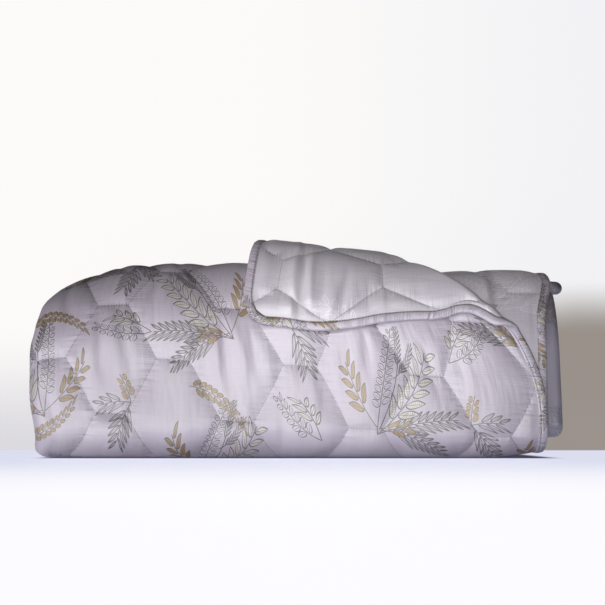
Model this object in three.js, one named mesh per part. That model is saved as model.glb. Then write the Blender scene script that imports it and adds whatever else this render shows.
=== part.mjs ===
import * as THREE from "three";

// A quilted coverlet, folded into a long soft stack with its top corner turned over.
// It is folded in four across its width, then rolled flat along its length.
// Millimetres, +X along the stack, +Y to the back, +Z up. The front is the low Y side.
// The cloth has a printed side and a plain reverse side.
// A place on the cloth is (w, t): w runs across the width from the turned side edge,
// t runs along the length from the end that lies on top.
// A place in the stack is (x, s, n): s follows the rolled outline from the top end,
// down the front, under, up the back and inwards, and n is the depth below the outline.

// Thickness of the cloth and of the four plies that are rolled together
const CLOTH_THICK = 6.6;
const PLY_PITCH = 9.8;
const LAYER = 4 * PLY_PITCH;
const HALF = CLOTH_THICK / 2;
const DEPTH_ONE = HALF;
const DEPTH_TWO = DEPTH_ONE + PLY_PITCH;
const DEPTH_THREE = DEPTH_TWO + PLY_PITCH;
const DEPTH_FOUR = DEPTH_THREE + PLY_PITCH;

// The rolled stack: six layers high
const STACK_DEPTH = 430;
const STACK_HEIGHT = 6 * LAYER;
const TOP_END_Y = 288;
const INNER_END_Y = 336;
const MIN_BEND = 5.2;
const BEND_RADII = [110, 40, 45, 70, 72, 9, 9, 32, 34, 9];

// Across the stack
const LEFT_FOLD_X = 18;
const EDGE_ONE_X = 590;
const EDGE_TWO_X = 590;
const RIGHT_FOLD_X = 603;

// The rows of quilting run a little downhill to the right
const SKEW = 0.065;
const SKEW_CENTRE_X = 246;
const SKEW_FADE_FROM = 500;
const SKEW_FADE_TO = 900;

// Honeycomb quilting: hexagons with short level edges
const HEX_PERIOD = 145.4;
const HEX_ROW = 66.2;
const HEX_EDGE = 38;
const HEX_SLANT = HEX_PERIOD / 2 - HEX_EDGE;
const HEX_EDGE_START_X = 10;
const HEX_ROW_START = 37;
const HEX_FIRST_ROW_IS_ODD = true;
const SEAM_HALF = 1.4;
const PUFF_HALF = 4.6;
const PUFF_REACH = 11;

// The turned corner of the outer ply
const FOLD_X_AT_END = 243.5;
const FOLD_END_T = 314.6;
const FOLD_LAST_X = 560;
const FOLD_BOW = 13;
const FLAP_LENGTH = 334;
const FLAP_POWER = 1.1;
const ROLL_RADIUS = 4.6;
const ROLL_RADIUS_EXTRA = 8.4;
const ROLL_RADIUS_FADE = 80;
const FLAP_LOW = 10;
const FLAP_DROP_FROM = 215;
const FLAP_DROP_TO = 300;
const ARC_REACH = 95;
const CORNER_RADIUS = 30;

// Binding along every edge of the cloth
const BINDING_GAP = 1;
const BINDING_HALF_WIDTH = 4.5;
const BINDING_HALF_THICK = 3.7;
const BINDING_SIDES = 6;

// How far the top end of each inner ply lies from that of the outer ply
const END_SHIFT = { four: -15, three: -12, two: -9 };

const clamp01 = (v) => Math.min(1, Math.max(0, v));
const lerp = (from, to, f) => from + (to - from) * f;

function smooth(from, to, v) {
  const f = clamp01((v - from) / (to - from));
  return f * f * (3 - 2 * f);
}

// The rolled outline, as straight sides and quarter bends in turn

const SIDE_TRAVEL = [[-1, 0], [0, -1], [1, 0], [0, 1]];

function lineAt(side, n) {
  const inset = Math.floor(side / 4) * LAYER + n;
  return [STACK_HEIGHT - inset, inset, inset, STACK_DEPTH - inset][side % 4];
}

function bendCorner(bend, n) {
  const first = lineAt(bend, n);
  const second = lineAt(bend + 1, n);
  return bend % 2 === 0 ? [second, first] : [first, second];
}

const bendRadius = (bend, n) => Math.max(BEND_RADII[bend] - n, MIN_BEND);

function bendStart(bend, n) {
  const [y, z] = bendCorner(bend, n);
  const [dy, dz] = SIDE_TRAVEL[bend % 4];
  const r = bendRadius(bend, n);
  return [y - dy * r, z - dz * r];
}

function bendEnd(bend, n) {
  const [y, z] = bendCorner(bend, n);
  const [dy, dz] = SIDE_TRAVEL[(bend + 1) % 4];
  const r = bendRadius(bend, n);
  return [y + dy * r, z + dz * r];
}

const LAST_SIDE = BEND_RADII.length;
const sideStart = (side, n) => (side === 0 ? [TOP_END_Y, lineAt(0, n)] : bendEnd(side - 1, n));
const sideEnd = (side, n) =>
  side === LAST_SIDE ? [INNER_END_Y, lineAt(side, n)] : bendStart(side, n);

function outlineSpans() {
  const spans = [];
  let from = 0;
  for (let side = 0; side <= LAST_SIDE; side++) {
    const [y0, z0] = sideStart(side, 0);
    const [y1, z1] = sideEnd(side, 0);
    const length = Math.hypot(y1 - y0, z1 - z0);
    spans.push({ side, bend: false, from, length });
    from += length;
    if (side < LAST_SIDE) {
      const arc = (bendRadius(side, 0) * Math.PI) / 2;
      spans.push({ side, bend: true, from, length: arc });
      from += arc;
    }
  }
  return spans;
}

const SPANS = outlineSpans();
const LAST_SPAN = SPANS[SPANS.length - 1];
const CLOTH_LENGTH = LAST_SPAN.from + LAST_SPAN.length;
const BOTTOM_FROM = SPANS[4].from;
const BOTTOM_TO = SPANS[4].from + SPANS[4].length;

function sectionPoint(s, n) {
  let span = SPANS[0];
  for (const next of SPANS) if (s >= next.from) span = next;
  const f = (s - span.from) / span.length;
  if (!span.bend) {
    const [y0, z0] = sideStart(span.side, n);
    const [y1, z1] = sideEnd(span.side, n);
    return [lerp(y0, y1, f), lerp(z0, z1, f)];
  }
  const [y0, z0] = bendStart(span.side, n);
  const [dy, dz] = SIDE_TRAVEL[span.side % 4];
  const r = bendRadius(span.side, n);
  const angle = (f * Math.PI) / 2;
  const along = r * Math.sin(angle);
  const inward = r * (1 - Math.cos(angle));
  return [y0 + dy * along - dz * inward, z0 + dz * along + dy * inward];
}

// Soft shape of the whole stack, in straight steps between the columns that all plies share.
// drop lowers the top, narrow draws front and back together, tuck rounds the left end
// and bow moves the front.
const END_SHAPE = [
  { x: 0, drop: 38, narrow: 0.1, tuck: 1, bow: 0 },
  { x: 18, drop: 30, narrow: 0.074, tuck: 0.83, bow: 0.5 },
  { x: 60, drop: 16, narrow: 0.029, tuck: 0.49, bow: 1.6 },
  { x: 110, drop: 5, narrow: 0.002, tuck: 0.2, bow: 2.4 },
  { x: 170, drop: 0, narrow: 0, tuck: 0.02, bow: 2.3 },
  { x: 400, drop: 2, narrow: 0, tuck: 0, bow: -2.4 },
  { x: 540, drop: 1, narrow: 0.001, tuck: 0, bow: -0.4 },
  { x: 625, drop: 5, narrow: 0.033, tuck: 0, bow: 1.8 },
];
const SHARED_X = END_SHAPE.slice(2, -1).map((row) => row.x);
const FLAT_BOTTOM_TO_X = 540;
const END_LIFT = 5;
const END_LIFT_HEIGHT = 40;
const WIDEST_Z = 96;

function endShape(x) {
  let k = 0;
  while (k < END_SHAPE.length - 2 && x > END_SHAPE[k + 1].x) k += 1;
  const from = END_SHAPE[k];
  const to = END_SHAPE[k + 1];
  const f = (x - from.x) / (to.x - from.x);
  const mix = (name) => lerp(from[name], to[name], f);
  return { drop: mix("drop"), narrow: mix("narrow"), tuck: mix("tuck"), bow: mix("bow") };
}

function soften({ x, y, z }) {
  const shape = endShape(x);
  const low = z - clamp01(z / STACK_HEIGHT) ** 1.5 * shape.drop;
  const above = (low - WIDEST_Z) / WIDEST_Z;
  const inward = above > 0 ? 28 * above ** 2 : 9 * (-above) ** 3;
  const middle = STACK_DEPTH / 2;
  const right = Math.max(0, (x - FLAT_BOTTOM_TO_X) / (EDGE_ONE_X - FLAT_BOTTOM_TO_X));
  const lift = END_LIFT * right * Math.max(0, 1 - z / END_LIFT_HEIGHT);
  return new THREE.Vector3(
    x + inward * shape.tuck,
    middle + (y - middle) * (1 - shape.narrow) + shape.bow * (1 - y / STACK_DEPTH),
    low + lift,
  );
}

function stackPoint({ x, s, n }) {
  const [y, z] = sectionPoint(s, n);
  return new THREE.Vector3(x, y, z);
}

const skewAt = (x, t) => SKEW * (x - SKEW_CENTRE_X) * (1 - smooth(SKEW_FADE_FROM, SKEW_FADE_TO, t));

// The outer ply, with its corner turned over along a soft slanting roll

function foldX(t) {
  const straight = lerp(FOLD_X_AT_END, FOLD_LAST_X, t / FOLD_END_T);
  return straight - FOLD_BOW * Math.sin(Math.PI * clamp01(t / FOLD_END_T));
}

const flapLength = (t) => FLAP_LENGTH * clamp01(1 - t / FOLD_END_T) ** FLAP_POWER;
const rollFade = (t) => Math.exp(-Math.max(t, 0) / ROLL_RADIUS_FADE);
const rollRadius = (t) => ROLL_RADIUS + ROLL_RADIUS_EXTRA * rollFade(t);
const rollLength = (t) => Math.SQRT2 * Math.PI * rollRadius(t);

function edgeOneX(t) {
  const near = clamp01((FOLD_END_T + ARC_REACH - t) / ARC_REACH);
  return EDGE_ONE_X - (EDGE_ONE_X - FOLD_LAST_X) * near * near;
}

// Cloth x and stack x of the place where row t meets the fold, or the side edge below it
function foldAt(t) {
  if (t >= FOLD_END_T) return { cloth: EDGE_ONE_X, stack: edgeOneX(t) };
  return { cloth: EDGE_ONE_X - flapLength(t), stack: foldX(t) };
}

// Places the outer ply: c is its cloth x, equal to x where the ply lies undisturbed
function placeOne(c, t) {
  const fold = foldAt(t);
  const over = c - fold.cloth;
  if (over <= 0 || t >= FOLD_END_T) {
    const drawn = (fold.cloth - fold.stack) * clamp01(c / fold.cloth) ** 2;
    const x = c - drawn;
    return { x, s: t + skewAt(x, t), n: DEPTH_ONE };
  }
  const r = rollRadius(t);
  const full = rollLength(t);
  const foldS = t + skewAt(fold.stack, t);
  const turned = Math.min(over, full);
  const slide = turned / 2;
  const angle = turned / Math.SQRT2 / r;
  const bulge = (r * Math.sin(angle)) / Math.SQRT2;
  const past = over - turned;
  const natural = Math.max(0, flapLength(t) - full);
  const fit = 1 + (flapFit(t) * Math.min(1, natural / 40)) / Math.max(natural, 1);
  const s = foldS + slide - bulge + past * fit;
  const settle = smooth(FLAP_DROP_FROM, FLAP_DROP_TO, s) * smooth(0, 40, past);
  const rise = lerp(r * (1 - Math.cos(angle)), FLAP_LOW, settle);
  return { x: fold.stack + slide + bulge, s, n: DEPTH_ONE - rise };
}

// The lower edge of the flap hangs lower on the left than on the right
function flapFit(t) {
  return lerp(14, 1, smooth(30, 200, t)) - 12 * smooth(222, 272, t);
}

// The other plies: w runs on from the left fold through plies four, three and two

const ONE_LENGTH = EDGE_ONE_X - LEFT_FOLD_X;
const LEFT_BEND = (DEPTH_FOUR - DEPTH_ONE) / 2;
const TIGHT_BEND = PLY_PITCH / 2;
const INNER_PLY = EDGE_TWO_X - LEFT_FOLD_X;
const ZONES = [
  { name: "left", length: LEFT_BEND * Math.PI },
  { name: "four", length: INNER_PLY },
  { name: "right", length: TIGHT_BEND * Math.PI },
  { name: "three", length: INNER_PLY },
  { name: "inner", length: TIGHT_BEND * Math.PI },
  { name: "two", length: INNER_PLY },
];
ZONES.reduce((from, zone) => {
  zone.from = from;
  return from + zone.length;
}, ONE_LENGTH);
const CLOTH_WIDTH = ZONES[ZONES.length - 1].from + INNER_PLY;
const zoneStart = (name) => ZONES.find((zone) => zone.name === name).from;
const zoneAt = (name, f) => zoneStart(name) + f * ZONES.find((zone) => zone.name === name).length;

// The fold at the right end stands proud on the front and has one small dog ear
function rightFoldX(s) {
  const front = smooth(275, 310, s) * (1 - smooth(520, 600, s));
  const upper = 1 - smooth(200, 290, s);
  const ear = Math.exp(-(((s - 198) / 8) ** 2));
  return RIGHT_FOLD_X + 9 * front - 7 * upper + 27 * ear + 2 * Math.sin(s / 61);
}

function edgeTwoX(s) {
  return EDGE_TWO_X + 1 + 14 * (1 - smooth(225, 320, s));
}

// Plies run true from the left fold to the last shared column, and stretch beyond it
function alongPly(run, rightX) {
  const trueRun = FLAT_BOTTOM_TO_X - LEFT_FOLD_X;
  if (run <= trueRun) return LEFT_FOLD_X + run;
  return lerp(FLAT_BOTTOM_TO_X, rightX, (run - trueRun) / (INNER_PLY - trueRun));
}

function placeRest(w, s) {
  let zone = ZONES[0];
  for (const next of ZONES) if (w >= next.from) zone = next;
  const run = w - zone.from;
  const half = (run / zone.length) * Math.PI;
  const right = rightFoldX(s);
  const tightBack = TIGHT_BEND * Math.cos(half);
  switch (zone.name) {
    case "left":
      return {
        x: LEFT_FOLD_X - LEFT_BEND * Math.sin(half),
        s,
        n: DEPTH_ONE + LEFT_BEND * (1 - Math.cos(half)),
      };
    case "four":
      return { x: alongPly(run, right), s, n: DEPTH_FOUR };
    case "right":
      return { x: right + TIGHT_BEND * Math.sin(half), s, n: DEPTH_FOUR - TIGHT_BEND + tightBack };
    case "three":
      return { x: alongPly(zone.length - run, right), s, n: DEPTH_THREE };
    case "inner":
      return {
        x: LEFT_FOLD_X - TIGHT_BEND * Math.sin(half),
        s,
        n: DEPTH_THREE - TIGHT_BEND + tightBack,
      };
    default:
      return { x: alongPly(run, edgeTwoX(s)), s, n: DEPTH_TWO };
  }
}

function endShift(w) {
  const start = skewAt(LEFT_FOLD_X, 0);
  const inZone = (name) => clamp01((w - zoneStart(name)) / (zoneAt(name, 1) - zoneStart(name)));
  const afterLeft = lerp(start, END_SHIFT.four, inZone("left"));
  const afterRight = lerp(afterLeft, END_SHIFT.three, inZone("right"));
  return lerp(afterRight, END_SHIFT.two, inZone("inner"));
}

// Points of the cloth before the stack is softened, with the way the printed side faces

const STEP = 0.5;

function framed(at, a, b) {
  const point = stackPoint(at(a, b));
  const across = stackPoint(at(a + STEP, b)).sub(stackPoint(at(a - STEP, b)));
  const along = stackPoint(at(a, b + STEP)).sub(stackPoint(at(a, b - STEP)));
  return { point, across, along, facing: across.clone().cross(along).normalize() };
}

// Cloth x falls as w grows on the outer ply
const atOne = (w, t) => placeOne(EDGE_ONE_X - w, t);
const frameOne = (w, t) => framed(atOne, w, t);
const frameRest = (w, s) => framed(placeRest, w, s);

// How full the wadding is at a place: 0 on a seam, nearly 1 in the middle of a cell
function fullness(c, t) {
  const row = (t - HEX_ROW_START) / HEX_ROW;
  const index = Math.floor(row);
  const odd = (index % 2 !== 0) !== HEX_FIRST_ROW_IS_ODD;
  const rise = odd ? 1 - (row - index) : row - index;
  const lean = HEX_ROW / Math.hypot(HEX_ROW, HEX_SLANT);
  const c0 = c - HEX_EDGE_START_X;
  const offset = c0 - Math.floor((c0 + HEX_SLANT * rise) / HEX_PERIOD) * HEX_PERIOD;
  const wideEnd = HEX_EDGE + HEX_SLANT * rise;
  const inWide = offset <= wideEnd;
  const from = inWide ? -HEX_SLANT * rise : wideEnd;
  const to = inWide ? wideEnd : HEX_PERIOD - HEX_SLANT * rise;
  const level = (inWide ? rise : 1 - rise) * HEX_ROW;
  const away = Math.max(0, Math.min(level, (offset - from) * lean, (to - offset) * lean));
  return 1 - Math.exp(-away / PUFF_REACH);
}

// Half thickness of the printed side and the reverse side of the outer ply
function printedHalf(w, t) {
  const c = EDGE_ONE_X - w;
  const place = placeOne(c, t);
  const beyond = smooth(BOTTOM_TO, BOTTOM_TO + 25, place.s);
  const pressed = smooth(BOTTOM_FROM - 25, BOTTOM_FROM, place.s) * (1 - beyond);
  const puffed = lerp(SEAM_HALF, PUFF_HALF, fullness(c, t));
  const inFold = t < FOLD_END_T ? smooth(-25, -5, c - foldAt(t).cloth) : 0;
  return lerp(lerp(puffed, HALF, pressed), 2.4, inFold);
}

function reverseHalf(w, t) {
  const c = EDGE_ONE_X - w;
  const turned = t < FOLD_END_T ? smooth(0, 20, c - foldAt(t).cloth) : 0;
  return lerp(HALF, lerp(SEAM_HALF, PUFF_HALF, fullness(c, t)), turned);
}

// The second ply shows its reverse side beside the turned corner
function reverseHalfTwo(w, s) {
  const place = placeRest(w, s);
  const shown = s < 420 ? smooth(-5, 25, place.x - FOLD_X_AT_END - 0.94 * s) : 0;
  return lerp(HALF, lerp(SEAM_HALF, PUFF_HALF, fullness(place.x + 40, s + 30)), shown);
}

// Faces are built from rows of numbered points that are laced together

const vertices = [];
const triangles = [];

function addVertex(frame, offset) {
  const p = soften(frame.point.clone().addScaledVector(frame.facing, offset));
  vertices.push(p.x, p.y, Math.abs(p.z) < 0.001 ? 0 : p.z);
  return vertices.length / 3 - 1;
}

// A knot is a numbered point with its key, which sets how two rows are laced
function lace(rowA, rowB, flip) {
  let i = 0;
  let j = 0;
  while (i < rowA.length - 1 || j < rowB.length - 1) {
    const nextA = i < rowA.length - 1 ? (rowA[i].key + rowA[i + 1].key) / 2 : Infinity;
    const nextB = j < rowB.length - 1 ? (rowB[j].key + rowB[j + 1].key) / 2 : Infinity;
    const a = rowA[i].id;
    const b = rowB[j].id;
    let c;
    if (nextA <= nextB) {
      i += 1;
      c = rowA[i].id;
    } else {
      j += 1;
      c = rowB[j].id;
    }
    if (flip) triangles.push(a, b, c);
    else triangles.push(a, c, b);
  }
}

function laceAll(rows, flip) {
  for (let k = 0; k + 1 < rows.length; k++) lace(rows[k], rows[k + 1], flip);
}

const knot = (frame, offset, key) => ({ id: addVertex(frame, offset), key });
const last = (list) => list[list.length - 1];

// Rows of the cloth that follow the quilting, on the layers that show

const FINE_STEP = HEX_ROW / 3;
const SHOWN_LENGTH = 1255;
const ARC_ROWS_FROM = 245;
const ARC_ROWS_TO = 345;
const CORNER_ANGLES = [0, 30, 60, 90].map((deg) => (deg * Math.PI) / 180);
const ROUNDED = CORNER_ANGLES.map((angle) => CORNER_RADIUS * (1 - Math.cos(angle)));

function cornerInset(fromEnd) {
  const short = Math.max(0, CORNER_RADIUS - fromEnd);
  return CORNER_RADIUS - Math.sqrt(Math.max(0, CORNER_RADIUS ** 2 - short ** 2));
}

function fineRows() {
  const rows = [...ROUNDED];
  const count = Math.floor((SHOWN_LENGTH - HEX_ROW_START) / FINE_STEP);
  for (let k = 0; k <= count; k++) {
    const t = HEX_ROW_START + k * FINE_STEP;
    const underneath = t > BOTTOM_FROM + 40 && t < BOTTOM_TO - 40;
    if (!underneath || k % 3 === 0) rows.push(t);
    if (t > ARC_ROWS_FROM && t < ARC_ROWS_TO) rows.push(t + FINE_STEP / 2);
  }
  rows.push(FOLD_END_T);
  rows.sort((a, b) => a - b);
  return rows;
}

// Columns follow the slanting seams, three steps to a cell and three between cells
function seamColumns(t) {
  const row = (t - HEX_ROW_START) / HEX_ROW;
  const index = Math.floor(row);
  const odd = (index % 2 !== 0) !== HEX_FIRST_ROW_IS_ODD;
  const rise = odd ? 1 - (row - index) : row - index;
  const columns = [];
  for (let k = -1; k <= 4; k++) {
    const base = HEX_EDGE_START_X + k * HEX_PERIOD;
    const from = base - HEX_SLANT * rise;
    const middle = base + HEX_EDGE + HEX_SLANT * rise;
    const to = base + HEX_PERIOD - HEX_SLANT * rise;
    for (let step = 0; step < 3; step++) columns.push(lerp(from, middle, step / 3));
    for (let step = 0; step < 3; step++) columns.push(lerp(middle, to, step / 3));
  }
  return columns;
}

// The top end keeps the columns of both sides
const endColumns = () => [...seamColumns(0), ...SHARED_X].sort((a, b) => a - b);

const COLUMN_MARGIN = 6;
const between = (list, from, to) =>
  list.filter((c) => c > from + COLUMN_MARGIN && c < to - COLUMN_MARGIN).reverse();

// One row of the outer ply in three stretches: flap, roll and base, from the edge inwards
function rowStretches(t, baseColumns) {
  const edge = EDGE_ONE_X - cornerInset(t);
  const fold = foldAt(t);
  const columns = seamColumns(t);
  const base = [fold.cloth, ...between(baseColumns, LEFT_FOLD_X, fold.cloth), LEFT_FOLD_X];
  if (t >= FOLD_END_T) return { flap: [fold.cloth], roll: [fold.cloth], base };
  const rollEnd = Math.min(fold.cloth + rollLength(t), edge);
  const roll = [];
  for (let step = 5; step >= 0; step--) roll.push(lerp(fold.cloth, rollEnd, step / 5));
  const flap = edge > rollEnd + 1 ? [edge, ...between(columns, rollEnd, edge)] : [];
  return { flap: [...flap, rollEnd], roll, base };
}

function outerFace(rows, half, sign, baseColumnsOf) {
  return rows.map((t) => {
    const stretches = rowStretches(t, baseColumnsOf(t));
    const made = new Map();
    const toKnots = (list) =>
      list.map((c) => {
        const w = EDGE_ONE_X - c;
        if (!made.has(c)) made.set(c, knot(frameOne(w, t), sign * half(w, t), w));
        return made.get(c);
      });
    return {
      t,
      flap: toKnots(stretches.flap),
      roll: toKnots(stretches.roll),
      base: toKnots(stretches.base),
    };
  });
}

// The roll is laced step by step, so that its points keep their place around it
function byStep(list) {
  return list.map((item, index) => ({ id: item.id, key: index }));
}

function laceOuter(rows, flip) {
  for (let k = 0; k + 1 < rows.length; k++) {
    lace(rows[k].flap, rows[k + 1].flap, flip);
    lace(byStep(rows[k].roll), byStep(rows[k + 1].roll), flip);
    lace(rows[k].base, rows[k + 1].base, flip);
  }
}

const wholeRow = (row) => [...row.flap, ...row.roll.slice(1), ...row.base.slice(1)];
const withKey = (item, key) => ({ id: item.id, key });

// Rows of the stack that follow its bends, on the layers that are hidden

function stackRows() {
  const rows = [];
  for (const span of SPANS) {
    const radius = bendRadius(span.side, 0);
    const bendSteps = radius > 60 ? 5 : radius > 20 ? 3 : 2;
    const steps = span.bend ? bendSteps : span.side < 4 ? 2 : 1;
    for (let k = 0; k < steps; k++) rows.push(span.from + (span.length * k) / steps);
  }
  const ear = [182, 190, 198, 206, 214];
  const kept = rows.filter((s) => s > 60 && s < CLOTH_LENGTH - 45 && !(s > 175 && s < 221));
  return [...kept, ...ear, 60].sort((a, b) => a - b);
}

const MIDDLE_ROWS = stackRows();
const HEAD_ROWS = ROUNDED.length;
const ROW_COUNT = HEAD_ROWS * 2 + MIDDLE_ROWS.length;

function rowS(k, w) {
  if (k < HEAD_ROWS) return endShift(w) + ROUNDED[k];
  if (k < HEAD_ROWS + MIDDLE_ROWS.length) return MIDDLE_ROWS[k - HEAD_ROWS];
  return CLOTH_LENGTH - ROUNDED[ROW_COUNT - 1 - k];
}

function fromEnds(k) {
  const nearest = Math.min(k, ROW_COUNT - 1 - k, HEAD_ROWS - 1);
  return ROUNDED[nearest];
}

// On the outer ply the stack's rows are found by taking the skew away
function rowT(k, w) {
  const s = rowS(k, w);
  return s - skewAt(EDGE_ONE_X - w, s - skewAt(EDGE_ONE_X - w, s));
}

const spread = (name, fractions) => fractions.map((f) => zoneAt(name, f));
const rightwards = (name, list) => list.map((x) => zoneStart(name) + x - LEFT_FOLD_X);
const leftwards = (name, list) =>
  [...list].reverse().map((x) => zoneAt(name, 1) - x + LEFT_FOLD_X);
const PLY_FOUR = [zoneStart("four"), ...rightwards("four", SHARED_X)];
const PLY_THREE = [zoneStart("three"), ...leftwards("three", SHARED_X)];
const PLY_TWO = [zoneStart("two"), ...rightwards("two", SHARED_X)];
const PRINTED_REST = [
  ...spread("left", [0.68, 0.84]),
  ...PLY_FOUR,
  ...spread("right", [0, 0.25, 0.5, 0.75]),
  ...PLY_THREE,
  ...spread("inner", [0, 0.5]),
  ...PLY_TWO,
];
const REVERSE_REST = [
  ...spread("left", [0.25, 0.5, 0.75]),
  ...PLY_FOUR,
  ...spread("right", [0, 0.5]),
  ...PLY_THREE,
  ...spread("inner", [0, 0.33, 0.67]),
];
const BESIDE_FLAP_X = [240, 280, 320, 360, 430, 460, 490, 520, 556];
const TWO_SHOWN_X = [...SHARED_X, ...BESIDE_FLAP_X].sort((a, b) => a - b);
const TWO_SHOWN = [zoneStart("two"), ...rightwards("two", TWO_SHOWN_X)];
const SHOWN_TWO_TO = 430;

// Cloth x of a place on the outer ply whose stack x is given
function clothAt(x, t) {
  const fold = foldAt(t);
  let c = x;
  for (let k = 0; k < 4; k++) c = x + (fold.cloth - fold.stack) * (c / fold.cloth) ** 2;
  return c;
}

function restRow(k, columns, half, sign) {
  return columns.map((w) => {
    const s = rowS(k, w);
    return { ...knot(frameRest(w, s), sign * half(w, s), w), s };
  });
}

function restEdge(k, half, sign) {
  const w = CLOTH_WIDTH - cornerInset(fromEnds(k));
  const s = rowS(k, w);
  return { ...knot(frameRest(w, s), sign * half(w, s), w), s };
}

const plainHalf = () => HALF;

function quiltedCloth() {
  const fine = fineRows();
  const coarse = Array.from({ length: ROW_COUNT }, (_, k) => k);
  const reverseColumns = (t) => (t === 0 ? endColumns() : SHARED_X.map((x) => clothAt(x, t)));

  // Printed side of the outer ply, where it shows
  const printedColumns = (t) => (t === 0 ? endColumns() : seamColumns(t));
  const shown = outerFace(fine, printedHalf, 1, printedColumns);
  laceOuter(shown, false);
  const tipW = zoneAt("left", 0.5);
  const tip = shown.map(({ t, base }, index) => {
    const s = t + skewAt(LEFT_FOLD_X, t) * 0.5 + endShift(tipW) * 0.5 * (1 - smooth(0, 100, t));
    const bend = [0.17, 0.34, 0.5].map((f) => {
      const at = lerp(t + skewAt(LEFT_FOLD_X, t), s, f * 2);
      return { ...knot(frameRest(zoneAt("left", f), at), HALF, zoneAt("left", f)), s: at, index };
    });
    return [{ ...last(base), s: t + skewAt(LEFT_FOLD_X, t) }, ...bend];
  });
  laceAll(tip, false);

  // Printed side of the outer ply, where it is hidden
  const firstHidden = coarse.find((k) => rowS(k, tipW) > last(fine) + 8);
  const hiddenRows = coarse.slice(firstHidden);
  const hidden = hiddenRows.map((k) => {
    const edge = EDGE_ONE_X - cornerInset(fromEnds(k));
    const onPly = [edge, ...[...SHARED_X].reverse(), LEFT_FOLD_X].map((c) => {
      const w = EDGE_ONE_X - c;
      const t = rowT(k, w);
      return { ...knot(frameOne(w, t), HALF, w), s: rowS(k, w) };
    });
    return [...onPly, ...restRow(k, spread("left", [0.25, 0.5]), plainHalf, 1)];
  });
  laceAll(hidden, false);
  lace([...wholeRow(last(shown)), ...last(tip).slice(1)], hidden[0], false);

  // Printed side of the other plies
  const rest = coarse.map((k) => [
    ...restRow(k, PRINTED_REST, plainHalf, 1),
    restEdge(k, plainHalf, 1),
  ]);
  laceAll(rest, false);
  const tipLine = [...tip.map(last), ...hidden.map(last)].map((item) => withKey(item, item.s));
  const restLine = rest.map((row) => withKey(row[0], row[0].s));
  lace(tipLine, restLine, true);

  // Reverse side of the outer ply, close to the turned corner
  const turnedRows = fine.filter((t) => t < 345);
  const turned = outerFace(turnedRows, reverseHalf, -1, reverseColumns);
  laceOuter(turned, true);
  const bendEndS = SPANS[2].from;
  const firstUnder = coarse.find((k) => rowS(k, 0) > last(turnedRows) + 24);
  const underRow = (edge, tAt) =>
    [edge, ...[...SHARED_X].reverse(), LEFT_FOLD_X].map((c) => {
      const w = EDGE_ONE_X - c;
      const t = tAt(w);
      return { ...knot(frameOne(w, t), -HALF, w), s: t + skewAt(c, t) };
    });
  const under = [
    underRow(EDGE_ONE_X, (w) => {
      const atBendEnd = bendEndS - skewAt(EDGE_ONE_X - w, bendEndS);
      return Math.max(atBendEnd, last(turnedRows) + 6);
    }),
    ...coarse.slice(firstUnder).map((k) =>
      underRow(EDGE_ONE_X - cornerInset(fromEnds(k)), (w) => rowT(k, w)),
    ),
  ];
  laceAll(under, true);
  lace(wholeRow(last(turned)), under[0], true);

  // Reverse side of the other plies
  const lining = coarse.map((k) => restRow(k, REVERSE_REST, plainHalf, -1));
  laceAll(lining, true);
  const underLine = [
    ...turned.map((row) => withKey(last(row.base), row.t + skewAt(LEFT_FOLD_X, row.t))),
    ...under.map((row) => withKey(last(row), last(row).s)),
  ];
  lace(underLine, lining.map((row) => withKey(row[0], row[0].s)), false);
  const second = coarse.map((k) => {
    const columns = rowS(k, CLOTH_WIDTH) < SHOWN_TWO_TO ? TWO_SHOWN : PLY_TWO;
    return [...restRow(k, columns, reverseHalfTwo, -1), restEdge(k, reverseHalfTwo, -1)];
  });
  laceAll(second, true);
  lace(
    lining.map((row) => withKey(last(row), last(row).s)),
    second.map((row) => withKey(row[0], row[0].s)),
    false,
  );

  // Rims along the two side edges and the two ends
  const edgeOf = (row) => withKey(row.flap[0], row.t);
  const edgeRows = (rows) => rows.map((row) => withKey(row[0], row[0].s));
  const printedSide = [...shown.map(edgeOf), ...edgeRows(hidden)];
  const reverseSide = [...turned.map(edgeOf), ...edgeRows(under)];
  lace(printedSide, reverseSide, false);
  lace(
    rest.map((row) => withKey(last(row), last(row).s)),
    second.map((row) => withKey(last(row), last(row).s)),
    true,
  );
  const printedEnd = [...wholeRow(shown[0]), ...tip[0].slice(1), ...rest[0]];
  const reverseEnd = [...wholeRow(turned[0]), ...lining[0], ...second[0]];
  lace(printedEnd, reverseEnd, true);
  const printedInner = [...last(hidden), ...last(rest)];
  const reverseInner = [...last(under), ...last(lining), ...last(second)];
  lace(printedInner, reverseInner, false);
}

function clothGeometry() {
  quiltedCloth();
  const geometry = new THREE.BufferGeometry();
  geometry.setAttribute("position", new THREE.Float32BufferAttribute(vertices, 3));
  geometry.setIndex(triangles);
  return geometry;
}

// The binding runs once around the cloth as one closed strip

// The side edge runs aslant where it curves up to the turned corner
function slantStretch(t) {
  const steepest = (3.8 * (EDGE_ONE_X - FOLD_LAST_X)) / ARC_REACH;
  const below = clamp01((FOLD_END_T + ARC_REACH - t) / ARC_REACH);
  const above = smooth(FOLD_END_T - 60, FOLD_END_T, t);
  return Math.hypot(1, steepest * Math.min(below, above));
}

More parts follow.
